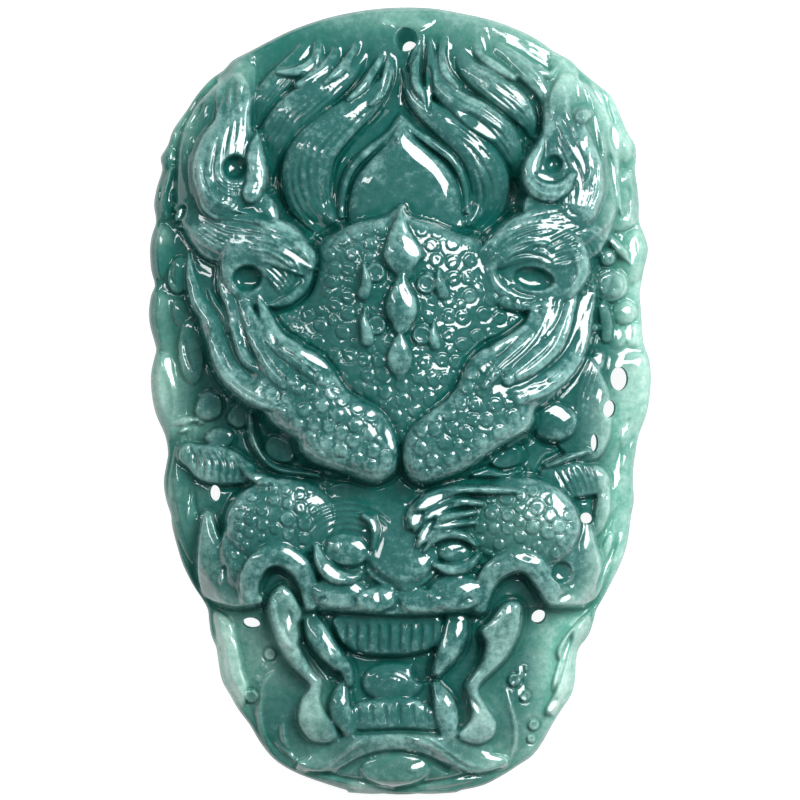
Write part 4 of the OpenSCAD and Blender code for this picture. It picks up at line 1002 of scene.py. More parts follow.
MOUTH = (
    (-7.4, -17.2), (-7.8, -19.2), (-6.4, -21.4), (-5.6, -22.8), (-6, -24.6), (-5.2, -26.6), (0, -26.6),
    (4.8, -26.8), (5.9, -25.2), (5.3, -23), (6.4, -21.4), (7, -19.2), (6.2, -17.4), (0, -17.6),
)
UPPER_ROW = (
    (-4.9, -17.2), (0, -17), (3, -17.1), (3.2, -19.2), (2.2, -20), (0.6, -20.35), (-1.6, -20.4),
    (-3.2, -20.2), (-4.4, -19.6), (-5, -18.6),
)
LOWER_ROW = (
    (-4.4, -26.4), (-4.2, -25), (-3.4, -24.3), (-2, -24), (0, -23.8), (1.6, -24.1), (2.6, -24.8),
    (3, -26.4), (0, -26.3),
)
INNER_FANGS = (
    ((-7.2, -17.4, 0.6, 9.2), (-6.7, -18.6, 0.85, 9.6), (-5.9, -19.9, 0.8, 9.8), (-5, -20.9, 0.65, 9.7),
     (-4.3, -21.6, 0.42, 9.4), (-4.1, -22.6, 0.28, 8.9)),
    ((-4.6, -22.9, 0.4, 8.6), (-4.8, -24, 0.7, 9.1), (-4.7, -25.2, 0.8, 9.1), (-4.1, -26.4, 0.5, 8.7)),
    ((4.5, -17.8, 0.9, 9.4), (4.3, -19, 0.95, 9.7), (3.7, -20.4, 0.75, 9.8), (3, -21.7, 0.35, 9.4)),
    ((2.9, -22.9, 0.35, 8.6), (3.4, -24, 0.75, 9.1), (3.7, -25.3, 0.9, 9.1), (3.9, -26.6, 0.7, 8.7)),
)


def carve_mouth(stone):
    """The mouth's cavity with teeth, tongue and inner fangs."""
    stone.limb(((-7.6, -16.8, 0.4, 9.6), (-4, -17, 0.7, 9.9), (-0.4, -17.2, 0.8, 10), (3.2, -17, 0.7, 9.9),
        (6.6, -16.7, 0.4, 9.8)), crown=0.8, blend=0.6)
    stone.plate(MOUTH, 7.4, edge=1.2, drop=0.8, blend=0.9, sunk=True)
    stone.plate(UPPER_ROW, 9.4, slope=(0, 0.12), bend=(0.02, 0.08), edge=0.5, drop=0.3, blend=0.3)
    stone.comb(((-4.7, -17.9), (-4.8, -19), (-4.7, -20.2)), ((3, -17.8), (3, -18.9), (2.8, -20.2)), 9,
        width=0.1, depth=0.28, taper=0.1)
    stone.comb(((-4.3, -18), (-4.4, -18.8), (-4.3, -19.5)), ((3.3, -17.9), (3.3, -18.7), (3.1, -19.5)), 9,
        width=0.16, depth=-0.1, taper=0.3)
    stone.dome(-0.6, -22.6, 2.4, 1.6, 8.5, 0.4, blend=0.6)
    for r in (0.7, 1.06, 1.42, 1.78):
        stone.arc_line((-0.8, -23, 1.4 * r, r, 155, 20), width=0.12, depth=-0.1)
    stone.dome(1.8, -21.5, 0.8, 1.1, 7, 0.3, sunk=True, blend=0.2)
    stone.plate(LOWER_ROW, 8.7, bend=(0.02, 0.08), edge=0.6, drop=0.3, blend=0.3)
    stone.comb(((-4, -24.2), (-3.9, -25), (-3.9, -26)), ((2.8, -24.2), (2.7, -25), (2.8, -26)), 6,
        width=0.12, depth=0.22, taper=0.2)
    stone.limbs(INNER_FANGS, crown=0.5, blend=0.3)


FANG_LEFT = (
    (-9.5, -14.9), (-8.8, -15.3), (-8.1, -16.4), (-7.9, -17.2), (-8.2, -18), (-8.1, -18.8), (-8.2, -19.6),
    (-7.8, -20.5), (-7, -21.8), (-6.3, -22.6), (-6.4, -23.9), (-6, -25), (-5.2, -26.1), (-5, -27.1),
    (-6, -27.5), (-7.3, -27.1), (-8.1, -25.7), (-7.9, -24.1), (-7.2, -22.8), (-8.6, -21.3), (-9.7, -19.5),
    (-10.4, -17.4), (-10.5, -16.4), (-10.2, -15.5),
)
FANG_RIGHT = (
    (9, -16.2), (9.6, -16.6), (9.5, -18.3), (8.7, -20.2), (7.6, -21.5), (6.4, -22.7), (6.3, -23.6),
    (7, -24.8), (7.6, -25.9), (7.4, -26.9), (6.3, -27.5), (5, -27.3), (4.7, -26.7), (5.6, -25.7),
    (5.8, -24.4), (5.3, -22.9), (5.8, -22.1), (6.5, -21.1), (6.9, -19.6), (6.5, -18.4), (7.3, -17.6),
    (8.2, -16.5),
)


def carve_fangs(stone):
    """The long outer fangs, which end in bulbs on the lower lip."""
    for outline in (FANG_LEFT, FANG_RIGHT):
        stone.plate(outline, 9.6, slope=(0, 0.16), edge=0.8, drop=0.4, blend=0.2)
    stone.limb(((-10.2, -16.2, 0.15, 10.6), (-9.9, -17.8, 0.3, 10.4), (-9.2, -19.2, 0.3, 10.2),
        (-8.6, -19.9, 0.12, 10)), crown=0.9)
    stone.line(((8.4, -17.2), (7.6, -18), (7.3, -19.4)), width=0.12, depth=-0.14)


SEAT_LINES = (((-1.7, 30.55), (-0.9, 30.1), (-0.3, 29.8)), ((1.1, 29.5), (1.9, 29.95), (2.9, 30.5)))


def carve_seat(stone):
    """Two faint facet lines above the hanging hole."""
    stone.lines(SEAT_LINES, width=0.16, depth=-0.16, taper=0.4)


def fill_trenches(stone):
    """Makes narrow trenches shallower than wide hollows, and keeps the fine detail in them."""
    broad = blurred(stone.z, FINE_DETAIL / stone.step)
    least = blurred(stone.z, TRENCH_WIDE / stone.step) - stone.deep
    stone.z += smooth_max(broad, least, TRENCH_BLEND) - broad


EDGE_COMBS = (
    # first and last strand, number of strands, depth
    (((14, 26.8), (15.3, 23.6), (16, 19.8), (15.4, 15.8)), ((16.4, 24.9), (17.6, 21.8), (17.6, 18.8),
     (17, 16.2)), 7, -0.16),
    (((-14.2, 26), (-15.3, 22.6), (-16, 18.6), (-15.4, 15.4)), ((-15.6, 25), (-17.2, 21.8), (-17.7, 18.6),
     (-16.8, 15.6)), 5, -0.14),
    (((12.6, 13), (14.8, 12), (15.6, 9.4), (15, 6.6)), ((13.6, 14.4), (16.6, 13.4), (17, 10.2),
     (15.9, 7.4)), 5, -0.14),
    (((15.2, 3.4), (14.2, 0.8), (13.9, -2)), ((16.4, 3.6), (15.5, 0.6), (14.8, -2.4)), 3, -0.14),
    (((16.2, -5.4), (16, -8.6), (15.2, -11.6)), ((17.6, -5), (17.6, -8.6), (16.6, -12.4)), 4, -0.14),
    (((-15.8, 0.8), (-16.2, -2.6), (-16.6, -5.4)), ((-17.4, 0.4), (-17.6, -2.4), (-17.8, -5)), 3, -0.14),
)


def carve_edge_strands(stone):
    """Fine strand lines between the horns and the rim, and over the mane beside the face."""
    stone.combs(EDGE_COMBS, width=0.14)


def round_edge(stone):
    """Lowers the large forms towards the rim, and rounds the face over at its edge."""
    ends = np.clip((np.abs(stone.y[:, None]) - ENDS_FROM) / ENDS_OVER, 0, 1)
    keep = mix(FADE_LEAST, 1, eased(stone.rim / mix(*FADE_IN, ends)))
    large = blurred(stone.z, LARGE / stone.step)
    stone.z += (large - stone.ground) * (keep - 1)
    rise = EDGE_RISE * (1 - dip(1 - np.clip(stone.rim / EDGE_IN, 0, 1)))
    cap = EDGE_Z + rise + EDGE_SLOPE * np.maximum(stone.rim - EDGE_IN, 0)
    stone.z = smooth_min(stone.z, cap, EDGE_BLEND)


def ripple(stone):
    """The slight waves of hand polishing."""
    rough = np.random.default_rng(WAVE_SEED).standard_normal(stone.z.shape)
    for size, height in WAVES:
        wave = blurred(rough, size / stone.step)
        stone.z += height * wave / wave.std()


POLISHED = (
    # flats polished on the forms, which catch the light: x, y, half length, half width, turn in degrees
    (1.5, 19.7, 2.2, 0.42, -40), (6.1, 22, 2, 0.5, -35), (5.1, 21.4, 2.2, 0.2, -37),
    (8.6, 24.4, 1.8, 0.18, -42), (7.9, 24, 1.7, 0.2, -38), (9.4, 24.4, 1.6, 0.15, -42),
    (2.4, 20.4, 2.6, 0.14, -37), (-1.2, 25.8, 1.7, 0.28, 78), (1.2, 27.9, 1.3, 0.2, 66),
    (2.3, 25, 1.8, 0.32, -89), (0.1, 24.9, 1.3, 0.2, 87), (5.6, 29.3, 0.6, 0.28, -60),
    (7.2, 28.8, 0.8, 0.2, -74), (-6.6, 27.3, 0.7, 0.2, 90), (-4.2, 26.4, 0.6, 0.15, 77),
    (13.4, 22.6, 0.8, 0.22, -70), (11.6, 17.8, 0.8, 0.36, -22), (14.2, 24.9, 1, 0.15, 90),
    (-15, 17.1, 1.2, 0.32, -64), (-14.5, 24.1, 0.9, 0.2, 85), (-13.6, 23.6, 0.9, 0.14, -89),
    (-11.9, 18.5, 1, 0.12, -78), (-15.7, 16.7, 1.1, 0.14, -71), (-9.6, 13.5, 2, 0.34, -25),
    (-9.5, 12.8, 1.1, 0.2, -22), (-8.3, 11.4, 1.7, 0.3, -33), (-8.8, 10.5, 1.2, 0.17, -25),
    (-12, 14.9, 1.8, 0.12, -12), (0.9, 12.3, 1.2, 0.4, -49), (0.4, 8.3, 1.1, 0.28, -62),
    (5.8, 9.5, 1.2, 0.24, -49), (6.3, 11, 1.2, 0.24, -63), (0.8, 13.9, 1.4, 0.18, -64),
    (-6.8, 3.2, 1.4, 0.4, -31), (-0.9, -3, 1.3, 0.42, -69), (-2.1, -2.6, 0.8, 0.28, -53),
    (-2.3, -1.1, 0.4, 0.35, 18), (-3.3, -0.7, 0.4, 0.34, 27), (-5.1, 0.8, 0.4, 0.3, -20),
    (-12.9, 5, 1.3, 0.2, -55), (-10.2, 4.9, 0.7, 0.28, -63), (-11.9, 6.4, 0.8, 0.24, -69),
    (10.8, 1.1, 2, 0.16, 12), (9.4, -3.2, 1.2, 0.2, 35), (7.7, -5.9, 1.5, 0.14, -2),
    (12.6, -8.4, 1.1, 0.36, -70), (1.3, -9.5, 0.8, 0.45, 60), (2.1, -10.5, 1.4, 0.3, 61),
    (6.9, -7.3, 2.6, 0.16, -2), (2.5, -8.1, 1.4, 0.42, 30), (3.1, -8.9, 1.3, 0.3, 30),
    (3.9, -10, 1.3, 0.18, 8), (5.4, -8.2, 0.7, 0.18, -23), (4.4, -11.7, 0.7, 0.28, 3),
    (-2.1, -10, 0.7, 0.22, -87), (-5.3, -13.9, 1.1, 0.4, -29), (-6.1, -11.6, 0.45, 0.2, 82),
    (-5, -11.8, 0.16, 0.28, 0), (-1.9, -15.8, 0.4, 0.35, -82), (-11.3, -6.2, 0.6, 0.26, 13),
    (10.1, -12.7, 1.1, 0.36, -17), (13.2, -15.9, 0.65, 0.4, 17), (-8.3, -12.5, 1.1, 0.14, -47),
    (-8.9, -17.8, 0.9, 0.32, 90), (-5.3, -20.4, 0.65, 0.28, -49), (8.7, -16.8, 0.5, 0.3, 64),
    (9.7, -21.7, 0.6, 0.28, 82), (9.7, -23.2, 0.7, 0.3, 59), (12.2, -24.5, 0.7, 0.36, 56),
    (6, -29, 0.9, 0.36, -10), (2.1, -27.5, 1.7, 0.14, -23), (-9.2, -27.9, 1, 0.18, -44),
    (6, -24.5, 0.7, 0.3, -58), (1.3, -29.3, 0.7, 0.35, 25), (-14.2, -14, 0.7, 0.25, 80),
    (17.2, 17.4, 2.4, 0.26, -79), (16.4, -13.7, 2.2, 0.24, 69), (17.3, -6.4, 2.6, 0.3, 83),
    (13, -20.9, 2.2, 0.3, 71), (18.6, 11.8, 1.2, 0.3, 89), (18.3, 5.4, 0.7, 0.35, 87),
    (17.2, 21, 1.1, 0.35, -79), (-16.9, -2.2, 0.8, 0.24, 27), (-13.3, -19.3, 0.6, 0.2, -54),
    (-17.6, 14.9, 0.7, 0.3, 64), (18, -2.4, 0.9, 0.2, 70), (-19.2, 16.4, 0.7, 0.14, 85),
    (15.9, 24.2, 1, 0.2, -60), (-16.5, 22.6, 1.2, 0.2, 55), (-16.9, -8.4, 1.2, 0.16, 85),
    (15.4, 19, 0.9, 0.24, -77),
)
PALE_AND_LIT_SPOTS = (
    # paler places: partly paler stone, partly painted glow where light comes through thin stone, and painted
    # sheen where the surface catches the light
    # x, y, radius across, radius up, amount
    (-17.4, 22.4, 1.2, 2.6, 0.5), (-15.2, 25.4, 1, 1, 0.5), (-19, 13, 0.6, 0.9, 0.3),
    (-19, 7.6, 0.7, 1.2, 0.3), (-18.8, 1.4, 1.6, 3.4, 0.8), (-17, -2, 1.6, 1, 0.7),
    (-18.6, -8, 0.7, 2.6, 0.4), (-14.2, -20, 1.1, 3.6, 0.95), (-13, -23.6, 0.9, 1.2, 0.7),
    (-11.8, -20.6, 2.4, 3.4, 0.6), (-16.4, -10, 1.4, 4, 0.15), (-12.6, 26.4, 1.2, 1.4, 0.4),
    (16.8, 23.6, 1.8, 2.4, 0.6), (17.8, 20.4, 1.4, 2.2, 0.4), (17.4, 16, 1.3, 2.8, 0.4),
    (18.8, 12, 1.2, 2.2, 0.6), (18.6, 8.6, 1, 1.8, 0.6), (18.6, 5.4, 1, 1.2, 0.9), (19, 1, 1.6, 3.2, 0.75),
    (17.6, -1.6, 2, 2.4, 0.6), (17.5, -7.6, 1.2, 3.4, 0.7), (17, -12.6, 1.2, 3.2, 0.75),
    (12.8, -18.4, 2.6, 1.8, 0.6), (13.2, -21.4, 1.4, 3.4, 0.85), (13.4, 25.8, 1.4, 2.2, 0.4),
    (11.6, -22.6, 1.8, 3.2, 0.45), (-3, -31, 1.4, 0.5, 0.7), (2.2, -31.1, 1.6, 0.4, 0.5),
    (0, 30.6, 8, 1.2, 0.26), (7.2, -24.6, 1.4, 3, 0.2), (-7, -24, 1.2, 3, 0.3), (9, 28.6, 4, 1.4, 0.2),
    (8, -19, 0.9, 2.6, 0.2), (-8.9, -18.6, 0.9, 2.8, 0.3), (-6.7, -25.4, 1, 1.6, 0.35),
    (6.2, -25.4, 1, 1.6, 0.25), (0, -28.6, 6, 2.2, 0.2), (-7.4, -28.6, 2.4, 1.4, 0.25),
    (7.8, -28.2, 2.4, 1.6, 0.25), (10.4, -10.2, 3.6, 2.6, 0.16), (8.2, 25.6, 4, 3, 0.14),
    (-1.1, 30.2, 0.6, 0.3, 0.4), (1.8, 30.1, 0.7, 0.3, 0.4), (0.4, 30.7, 1.6, 0.6, 0.25),
)


def carve(step):
    """The carved face of the stone."""
    stone = Relief(step)
    carve_ground(stone)
    carve_edge_left(stone)
    carve_edge_right(stone)
    carve_hair(stone)
    carve_horns(stone)
    carve_shield(stone)
    carve_temples(stone)
    carve_brow_plates(stone)
    carve_face(stone)
    carve_moustache(stone)
    carve_jaws(stone)
    carve_mouth(stone)
    carve_fangs(stone)
    carve_seat(stone)
    fill_trenches(stone)
    carve_edge_strands(stone)
    round_edge(stone)
    for row in POLISHED:
        stone.polish(*row)
    # painted glow of light through the thin stone, paler towards the rim on the right
    side = np.clip((stone.x[None, :] - GLOW_FROM) / GLOW_OVER, 0, 1)
    stone.pale += GLOW * side * side * np.exp(-((stone.rim / mix(*GLOW_WIDE, side)) ** 2))
    # paler places, partly painted glow and sheen
    for spot in PALE_AND_LIT_SPOTS:
        stone.tint(*spot)
    ripple(stone)
    stone.z = blurred(stone.z, FINISH / step)
    return stone


# The mesh

MM = 0.001  # in metres
CAMERA_AWAY = 0.8  # metres from the stone
HALF_WIDE = 20.0
HALF_HIGH = 31.4
FINE_STEP = 0.07  # spacing of the carving's grid
FINE_GRID = (401, 629)  # points of the mesh, across and up
TRIANGLES = 190000
LIP = ((0.0, 3.0), (0.0, 1.1), (0.25, 0.35), (0.75, 0.0))  # inset from the outline and height, to the back
LEAST_UP = 0.08  # a face that looks up less than this is a wall
CUT_FROM = -1.0  # the rods that drill the holes reach from here
CUT_TO = 16.0
HOLE = (0.45, 28.6, 0.9)  # the hanging hole: x, y, radius
HOLE_GROW = (0.6, 1.65)  # width of the hanging hole's rod at its ends, as a part of the hole's
HOLE_LEAN = (0.42, -0.6)  # how far the rod's lower end is off the hole's axis
HOLE_OVER = -1.3  # how far its upper end is off, as a part of that, so that it is on the axis at the face
CUT_SIDES = 48
HOLLOW_SPAN = 2.0  # width of the surroundings that hollows are measured from
CREST_SPAN = 0.45  # and of those that crests are measured from
PIERCINGS = (
    # x, y, length, width, turn in degrees
    (17.4, 1.7, 1.9, 1.4, 90), (16.6, -0.7, 1.4, 1.0, 80), (15.4, -3.4, 1.4, 0.6, 90),
    (14.8, -9.4, 1.1, 0.9, -30), (-14.7, -7.4, 1.3, 0.9, 90), (-11.8, -17.7, 1.4, 0.9, -5),
    (11.0, -17.2, 1.2, 1.1, 40),
    (HOLE[0], HOLE[1], 2 * HOLE[2], 2 * HOLE[2], 0),
)


def sampled(stone, field, x, y):
    """Values of a field of the carving at some places."""
    u = np.clip((x + REACH_X) / stone.step, 0, field.shape[1] - 1.001)
    v = np.clip((y + REACH_Y) / stone.step, 0, field.shape[0] - 1.001)
    j = u.astype(int)
    i = v.astype(int)
    low = mix(field[i, j], field[i, j + 1], u - j)
    high = mix(field[i + 1, j], field[i + 1, j + 1], u - j)
    return mix(low, high, v - i)


def face_places(across, up):
    """A grid bent to fill the outline."""
    u, v = np.meshgrid(np.linspace(-1, 1, across), np.linspace(-1, 1, up))
    x = u * np.sqrt(1 - v * v / 2)
    y = v * np.sqrt(1 - u * u / 2)
    line = outline_line()[:-1]
    angle = np.arctan2(line[:, 1] / HALF_HIGH, line[:, 0] / HALF_WIDE)
    beyond = np.interp(np.arctan2(y, x), angle, np.hypot(line[:, 0] / HALF_WIDE, line[:, 1] / HALF_HIGH),
                       period=2 * math.pi)
    k = 1 + (beyond - 1) * (x * x + y * y) ** 2
    return HALF_WIDE * x * k, HALF_HIGH * y * k


def closed_mesh(stone, across, up):
    """The carved face, its lip and its flat back as one closed mesh, drawn in for its perspective."""
    x, y = face_places(across, up)
    z = sampled(stone, stone.z, x, y)
    nearer = 1 - z * MM / CAMERA_AWAY
    points = np.dstack([x * nearer, y * nearer, z]).reshape(-1, 3)
    number = np.arange(across * up).reshape(up, across)
    edge = np.concatenate([number[0, :-1], number[:-1, -1], number[-1, :0:-1], number[:0:-1, 0]])
    quads = np.stack([number[:-1, :-1], number[:-1, 1:], number[1:, 1:], number[1:, :-1]], -1).reshape(-1, 4)
    rim = points[edge, :2]
    along = np.roll(rim, -1, 0) - np.roll(rim, 1, 0)
    inner = np.stack([-along[:, 1], along[:, 0]], 1) / np.linalg.norm(along, axis=1)[:, None]
    vertices = [points]
    faces = [quads]
    above = edge
    start = len(points)
    for inset, height in LIP:
        place = rim + inset * inner
        vertices.append(np.column_stack([place, np.full(len(place), height)]))
        below = start + np.arange(len(edge))
        faces.append(np.stack([above, below, np.roll(below, -1), np.roll(above, -1)], -1))
        above = below
        start += len(edge)
    mesh = bpy.data.meshes.new("carved_jade")
    back = [int(k) for k in above[::-1]]
    mesh.from_pydata(np.vstack(vertices) * MM, [], np.vstack(faces).tolist() + [back])
    return mesh


def cutters():
    """One mesh with a rod for each hole. The hanging hole's rod widens to the face and leans a little."""
    vertices = []
    faces = []
    for x, y, length, width, turn in PIERCINGS:
        hung = (x, y) == HOLE[:2]
        c = math.cos(math.radians(turn))
        s = math.sin(math.radians(turn))
        start = len(vertices)
        for height, grow, lean in ((CUT_FROM, HOLE_GROW[0], 1.0), (CUT_TO, HOLE_GROW[1], HOLE_OVER)):
            x0 = x + lean * HOLE_LEAN[0] * hung
            y0 = y + lean * HOLE_LEAN[1] * hung
            scale = grow if hung else 1.0
            for k in range(CUT_SIDES):
                a = scale * length / 2 * math.cos(2 * math.pi * k / CUT_SIDES)
                b = scale * width / 2 * math.sin(2 * math.pi * k / CUT_SIDES)
                vertices.append(((x0 + a * c - b * s) * MM, (y0 + a * s + b * c) * MM, height * MM))
        for k in range(CUT_SIDES):
            after = (k + 1) % CUT_SIDES
            faces.append((start + k, start + after, start + CUT_SIDES + after, start + CUT_SIDES + k))
        faces.append(tuple(start + k for k in reversed(range(CUT_SIDES))))
        faces.append(tuple(start + CUT_SIDES + k for k in range(CUT_SIDES)))
    mesh = bpy.data.meshes.new("cutters")
    mesh.from_pydata(vertices, [], faces)
    return mesh


def add_object(name, mesh):
    piece = bpy.data.objects.new(name, mesh)
    bpy.context.scene.collection.objects.link(piece)
    return piece


def places(mesh):
    """Where a mesh's points lie on the carving, and their heights, all in millimetres."""
    flat = np.empty(3 * len(mesh.vertices), np.float32)
    mesh.vertices.foreach_get("co", flat)
    x, y, z = flat.reshape(-1, 3).T / MM
    nearer = 1 - z * MM / CAMERA_AWAY
    return x / nearer, y / nearer, z


def thin_out(stone, piece, triangles):
    """Thins a piece's mesh, but not on its polished flats."""
    x, y, _ = places(piece.data)
    loose = np.flatnonzero(sampled(stone, stone.flat, x, y) < 0.5)
    piece.vertex_groups.new(name="loose").add(loose.tolist(), 1.0, "REPLACE")
    thinner = piece.modifiers.new("thinner", "DECIMATE")
    thinner.ratio = triangles / (2 * len(piece.data.polygons))
    thinner.vertex_group = "loose"


def settle(piece):
    """Makes a piece's modifiers part of its mesh."""
    graph = bpy.context.evaluated_depsgraph_get()
    mesh = bpy.data.meshes.new_from_object(piece.evaluated_get(graph))
    piece.modifiers.clear()
    piece.data = mesh


def drop_odd_points(mesh):
    """Takes out points that only two edges meet at, because two faces there could fold onto each other."""
    work = bmesh.new()
    work.from_mesh(mesh)
    bmesh.ops.dissolve_verts(work, verts=[point for point in work.verts if len(point.link_edges) == 2])
    work.to_mesh(mesh)
    work.free()


def carved_normals(stone, mesh, x, y):
    """Gives the corners of the carved face the carving's own normals; walls and back keep theirs."""
    up, across = np.gradient(stone.z, stone.step)
    normals = np.stack([-sampled(stone, across, x, y), -sampled(stone, up, x, y), np.ones(len(x))], 1)
    normals /= np.linalg.norm(normals, axis=1)[:, None]
    corners = len(mesh.loops)
    point = np.empty(corners, np.int32)
    mesh.loops.foreach_get("vertex_index", point)
    flat = np.empty(3 * len(mesh.polygons), np.float32)
    mesh.polygons.foreach_get("normal", flat)
    sides = np.empty(len(mesh.polygons), np.int32)
    mesh.polygons.foreach_get("loop_total", sides)
    own = np.repeat(flat.reshape(-1, 3), sides, axis=0)
    carved = own[:, 2] > LEAST_UP
    mesh.normals_split_custom_set(np.where(carved[:, None], normals[point], own))


def put_field(mesh, name, values):
    field = mesh.attributes.new(name, "FLOAT", "POINT")
    field.data.foreach_set("value", values.astype(np.float32))


def build_stone(stone):
    """The carved stone as one piece, with what its material needs to know at each point."""
    across, up = FINE_GRID
    piece = add_object("carved_jade", closed_mesh(stone, across, up))
    thin_out(stone, piece, TRIANGLES)
    cut = add_object("cutters", cutters())
    holes = piece.modifiers.new("holes", "BOOLEAN")
    holes.operation = "DIFFERENCE"
    holes.solver = "MANIFOLD"
    holes.object = cut
    settle(piece)
    bpy.data.objects.remove(cut)
    piece.vertex_groups.clear()
    mesh = piece.data
    drop_odd_points(mesh)
    x, y, _ = places(mesh)
    # hollow and crest drive painted shade and light in the material, and pale drives painted glow and sheen
    fields = {
        "hollow": stone.z - blurred(stone.z, HOLLOW_SPAN / stone.step),
        "crest": stone.z - blurred(stone.z, CREST_SPAN / stone.step),
        "height": stone.z,
        "pale": stone.pale,
        "rim": stone.rim,
    }
    for name, field in fields.items():
        put_field(mesh, name, sampled(stone, field, x, y))
    mesh.materials.clear()
    mesh.materials.append(jade())
    mesh.shade_smooth()
    carved_normals(stone, mesh, x, y)
    return piece


# The material

# colours as 8-bit display values
# painted shade for the hollows, and the darkest of the stone's own mottling
DEEP = (14, 80, 74)
BODY = (48, 97, 94)
# painted light on the crests, and the lightest of the stone's own mottling
BRIGHT = (136, 178, 173)
# painted shade: darker, greener stone towards the rim, which holds down the grey reflection there
RIM_SHADE = (30, 104, 92)
# milky colours where the stone is made paler: partly its own milky tone, partly painted glow and sheen
MILKY_GLOW_DIM = (104, 165, 149)
MILKY_GLOW = (194, 222, 211)
# painted shade on the walls of the drilled holes
BORE = (24, 88, 82)
BORE_LIGHT = (30, 96, 88)
BLACK = (0, 0, 0)
# ranges as from, to, and what they become
# the hollow range paints shade into hollows, the crest range paints light onto crests and shade into fine
# grooves; the cloud and fleck ranges are the stone's own mottling
HOLLOW_LIFT = (-2.2, 1.5, 0.0, 0.8)
CREST_LIFT = (-0.2, 0.2, -0.26, 0.26)
CLOUD_LIFT = (0.3, 0.7, -0.26, 0.26)
FLECK_LIFT = (0.33, 0.67, -0.3, 0.3)
TO_BODY = (0.0, 0.66)
TO_BRIGHT = (0.66, 1.4)
TO_RIM_SHADE = (3.4, 0.3, 0.0, 0.64)
TO_MILKY_GLOW = (0.1, 1.3)
PALE_PART = (0.0, 1.0, 0.0, 0.9)
BELOW_FACE = (0.1, 0.7)
IN_FROM_RIM = (0.5, 0.9)
BORE_ROUGH = (0.0, 1.0, 0.06, 0.8)
# noises as cells to the millimetre, detail, roughness, distortion
CLOUDS = (0.28, 4, 0.62, 0.8)
FLECKS = (1.7, 5, 0.74)
WAVINESS = (1.4, 3)
BORE_SHADE_PART = 0.9
JADE_SETTINGS = {
    # the emission is the painted glow in the bores
    "Emission Strength": 0.6,
    "IOR": 1.62,
    "Subsurface Weight": 0.3,
    "Subsurface Radius": (0.5, 1.3, 1.2),
    "Subsurface Scale": MM,
}
WAVE_STRENGTH = 0.2
WAVE_HEIGHT = 0.02 * MM
# the table's noise and colours
TABLE = (0.01, 2)
TABLE_DIM = (250, 250, 250)
TABLE_WHITE = (254, 254, 254)
TABLE_SHADE = (30, 30, 30)
TABLE_DARKER = 0.8
TABLE_LIGHT = 0.96
TABLE_ROUGH = 0.8


def linear(colour):
    """A colour given as 8-bit display values, in the shader's linear values."""
    values = [v / 255 for v in colour]
    return [v / 12.92 if v <= 0.04045 else ((v + 0.055) / 1.055) ** 2.4 for v in values] + [1.0]


class Nodes:
    """A material's node tree with short ways to add and join nodes."""

    def __init__(self, name):
        self.material = bpy.data.materials.new(name)
        self.material.use_nodes = True
        self.tree = self.material.node_tree
        self.shader = self.tree.nodes["Principled BSDF"]

    def add(self, kind, **settings):
        node = self.tree.nodes.new(kind)
        for key, value in settings.items():
            setattr(node, key, value)
        return node

    def join(self, source, target):
        self.tree.links.new(source, target)

    def field(self, name):
        return self.add("ShaderNodeAttribute", attribute_name=name).outputs["Fac"]

    def ranged(self, source, low, high, out_low=0.0, out_high=1.0):
        node = self.add("ShaderNodeMapRange")
        for key, value in (("From Min", low), ("From Max", high), ("To Min", out_low), ("To Max", out_high)):
            node.inputs[key].default_value = value
        self.join(source, node.inputs["Value"])
        return node.outputs["Result"]

    def maths(self, operation, a, b):
        node = self.add("ShaderNodeMath", operation=operation)
        for source, socket in ((a, node.inputs[0]), (b, node.inputs[1])):
            if isinstance(source, (int, float)):
                socket.default_value = source
            else:
                self.join(source, socket)
        return node.outputs[0]

    def noise(self, per_mm, detail, roughness=0.5, distortion=0.0):
        place = self.add("ShaderNodeTexCoord").outputs["Object"]
        node = self.add("ShaderNodeTexNoise")
        self.join(place, node.inputs["Vector"])
        node.inputs["Scale"].default_value = per_mm / MM
        node.inputs["Detail"].default_value = detail
        node.inputs["Roughness"].default_value = roughness
        node.inputs["Distortion"].default_value = distortion
        return node.outputs["Fac"]

    def blend(self, amount, a, b):
        node = self.add("ShaderNodeMix", data_type="RGBA")
        for source, socket in ((amount, node.inputs["Factor"]), (a, node.inputs[6]), (b, node.inputs[7])):
            if isinstance(source, (int, float, list)):
                socket.default_value = source
            else:
                self.join(source, socket)
        return node.outputs[2]


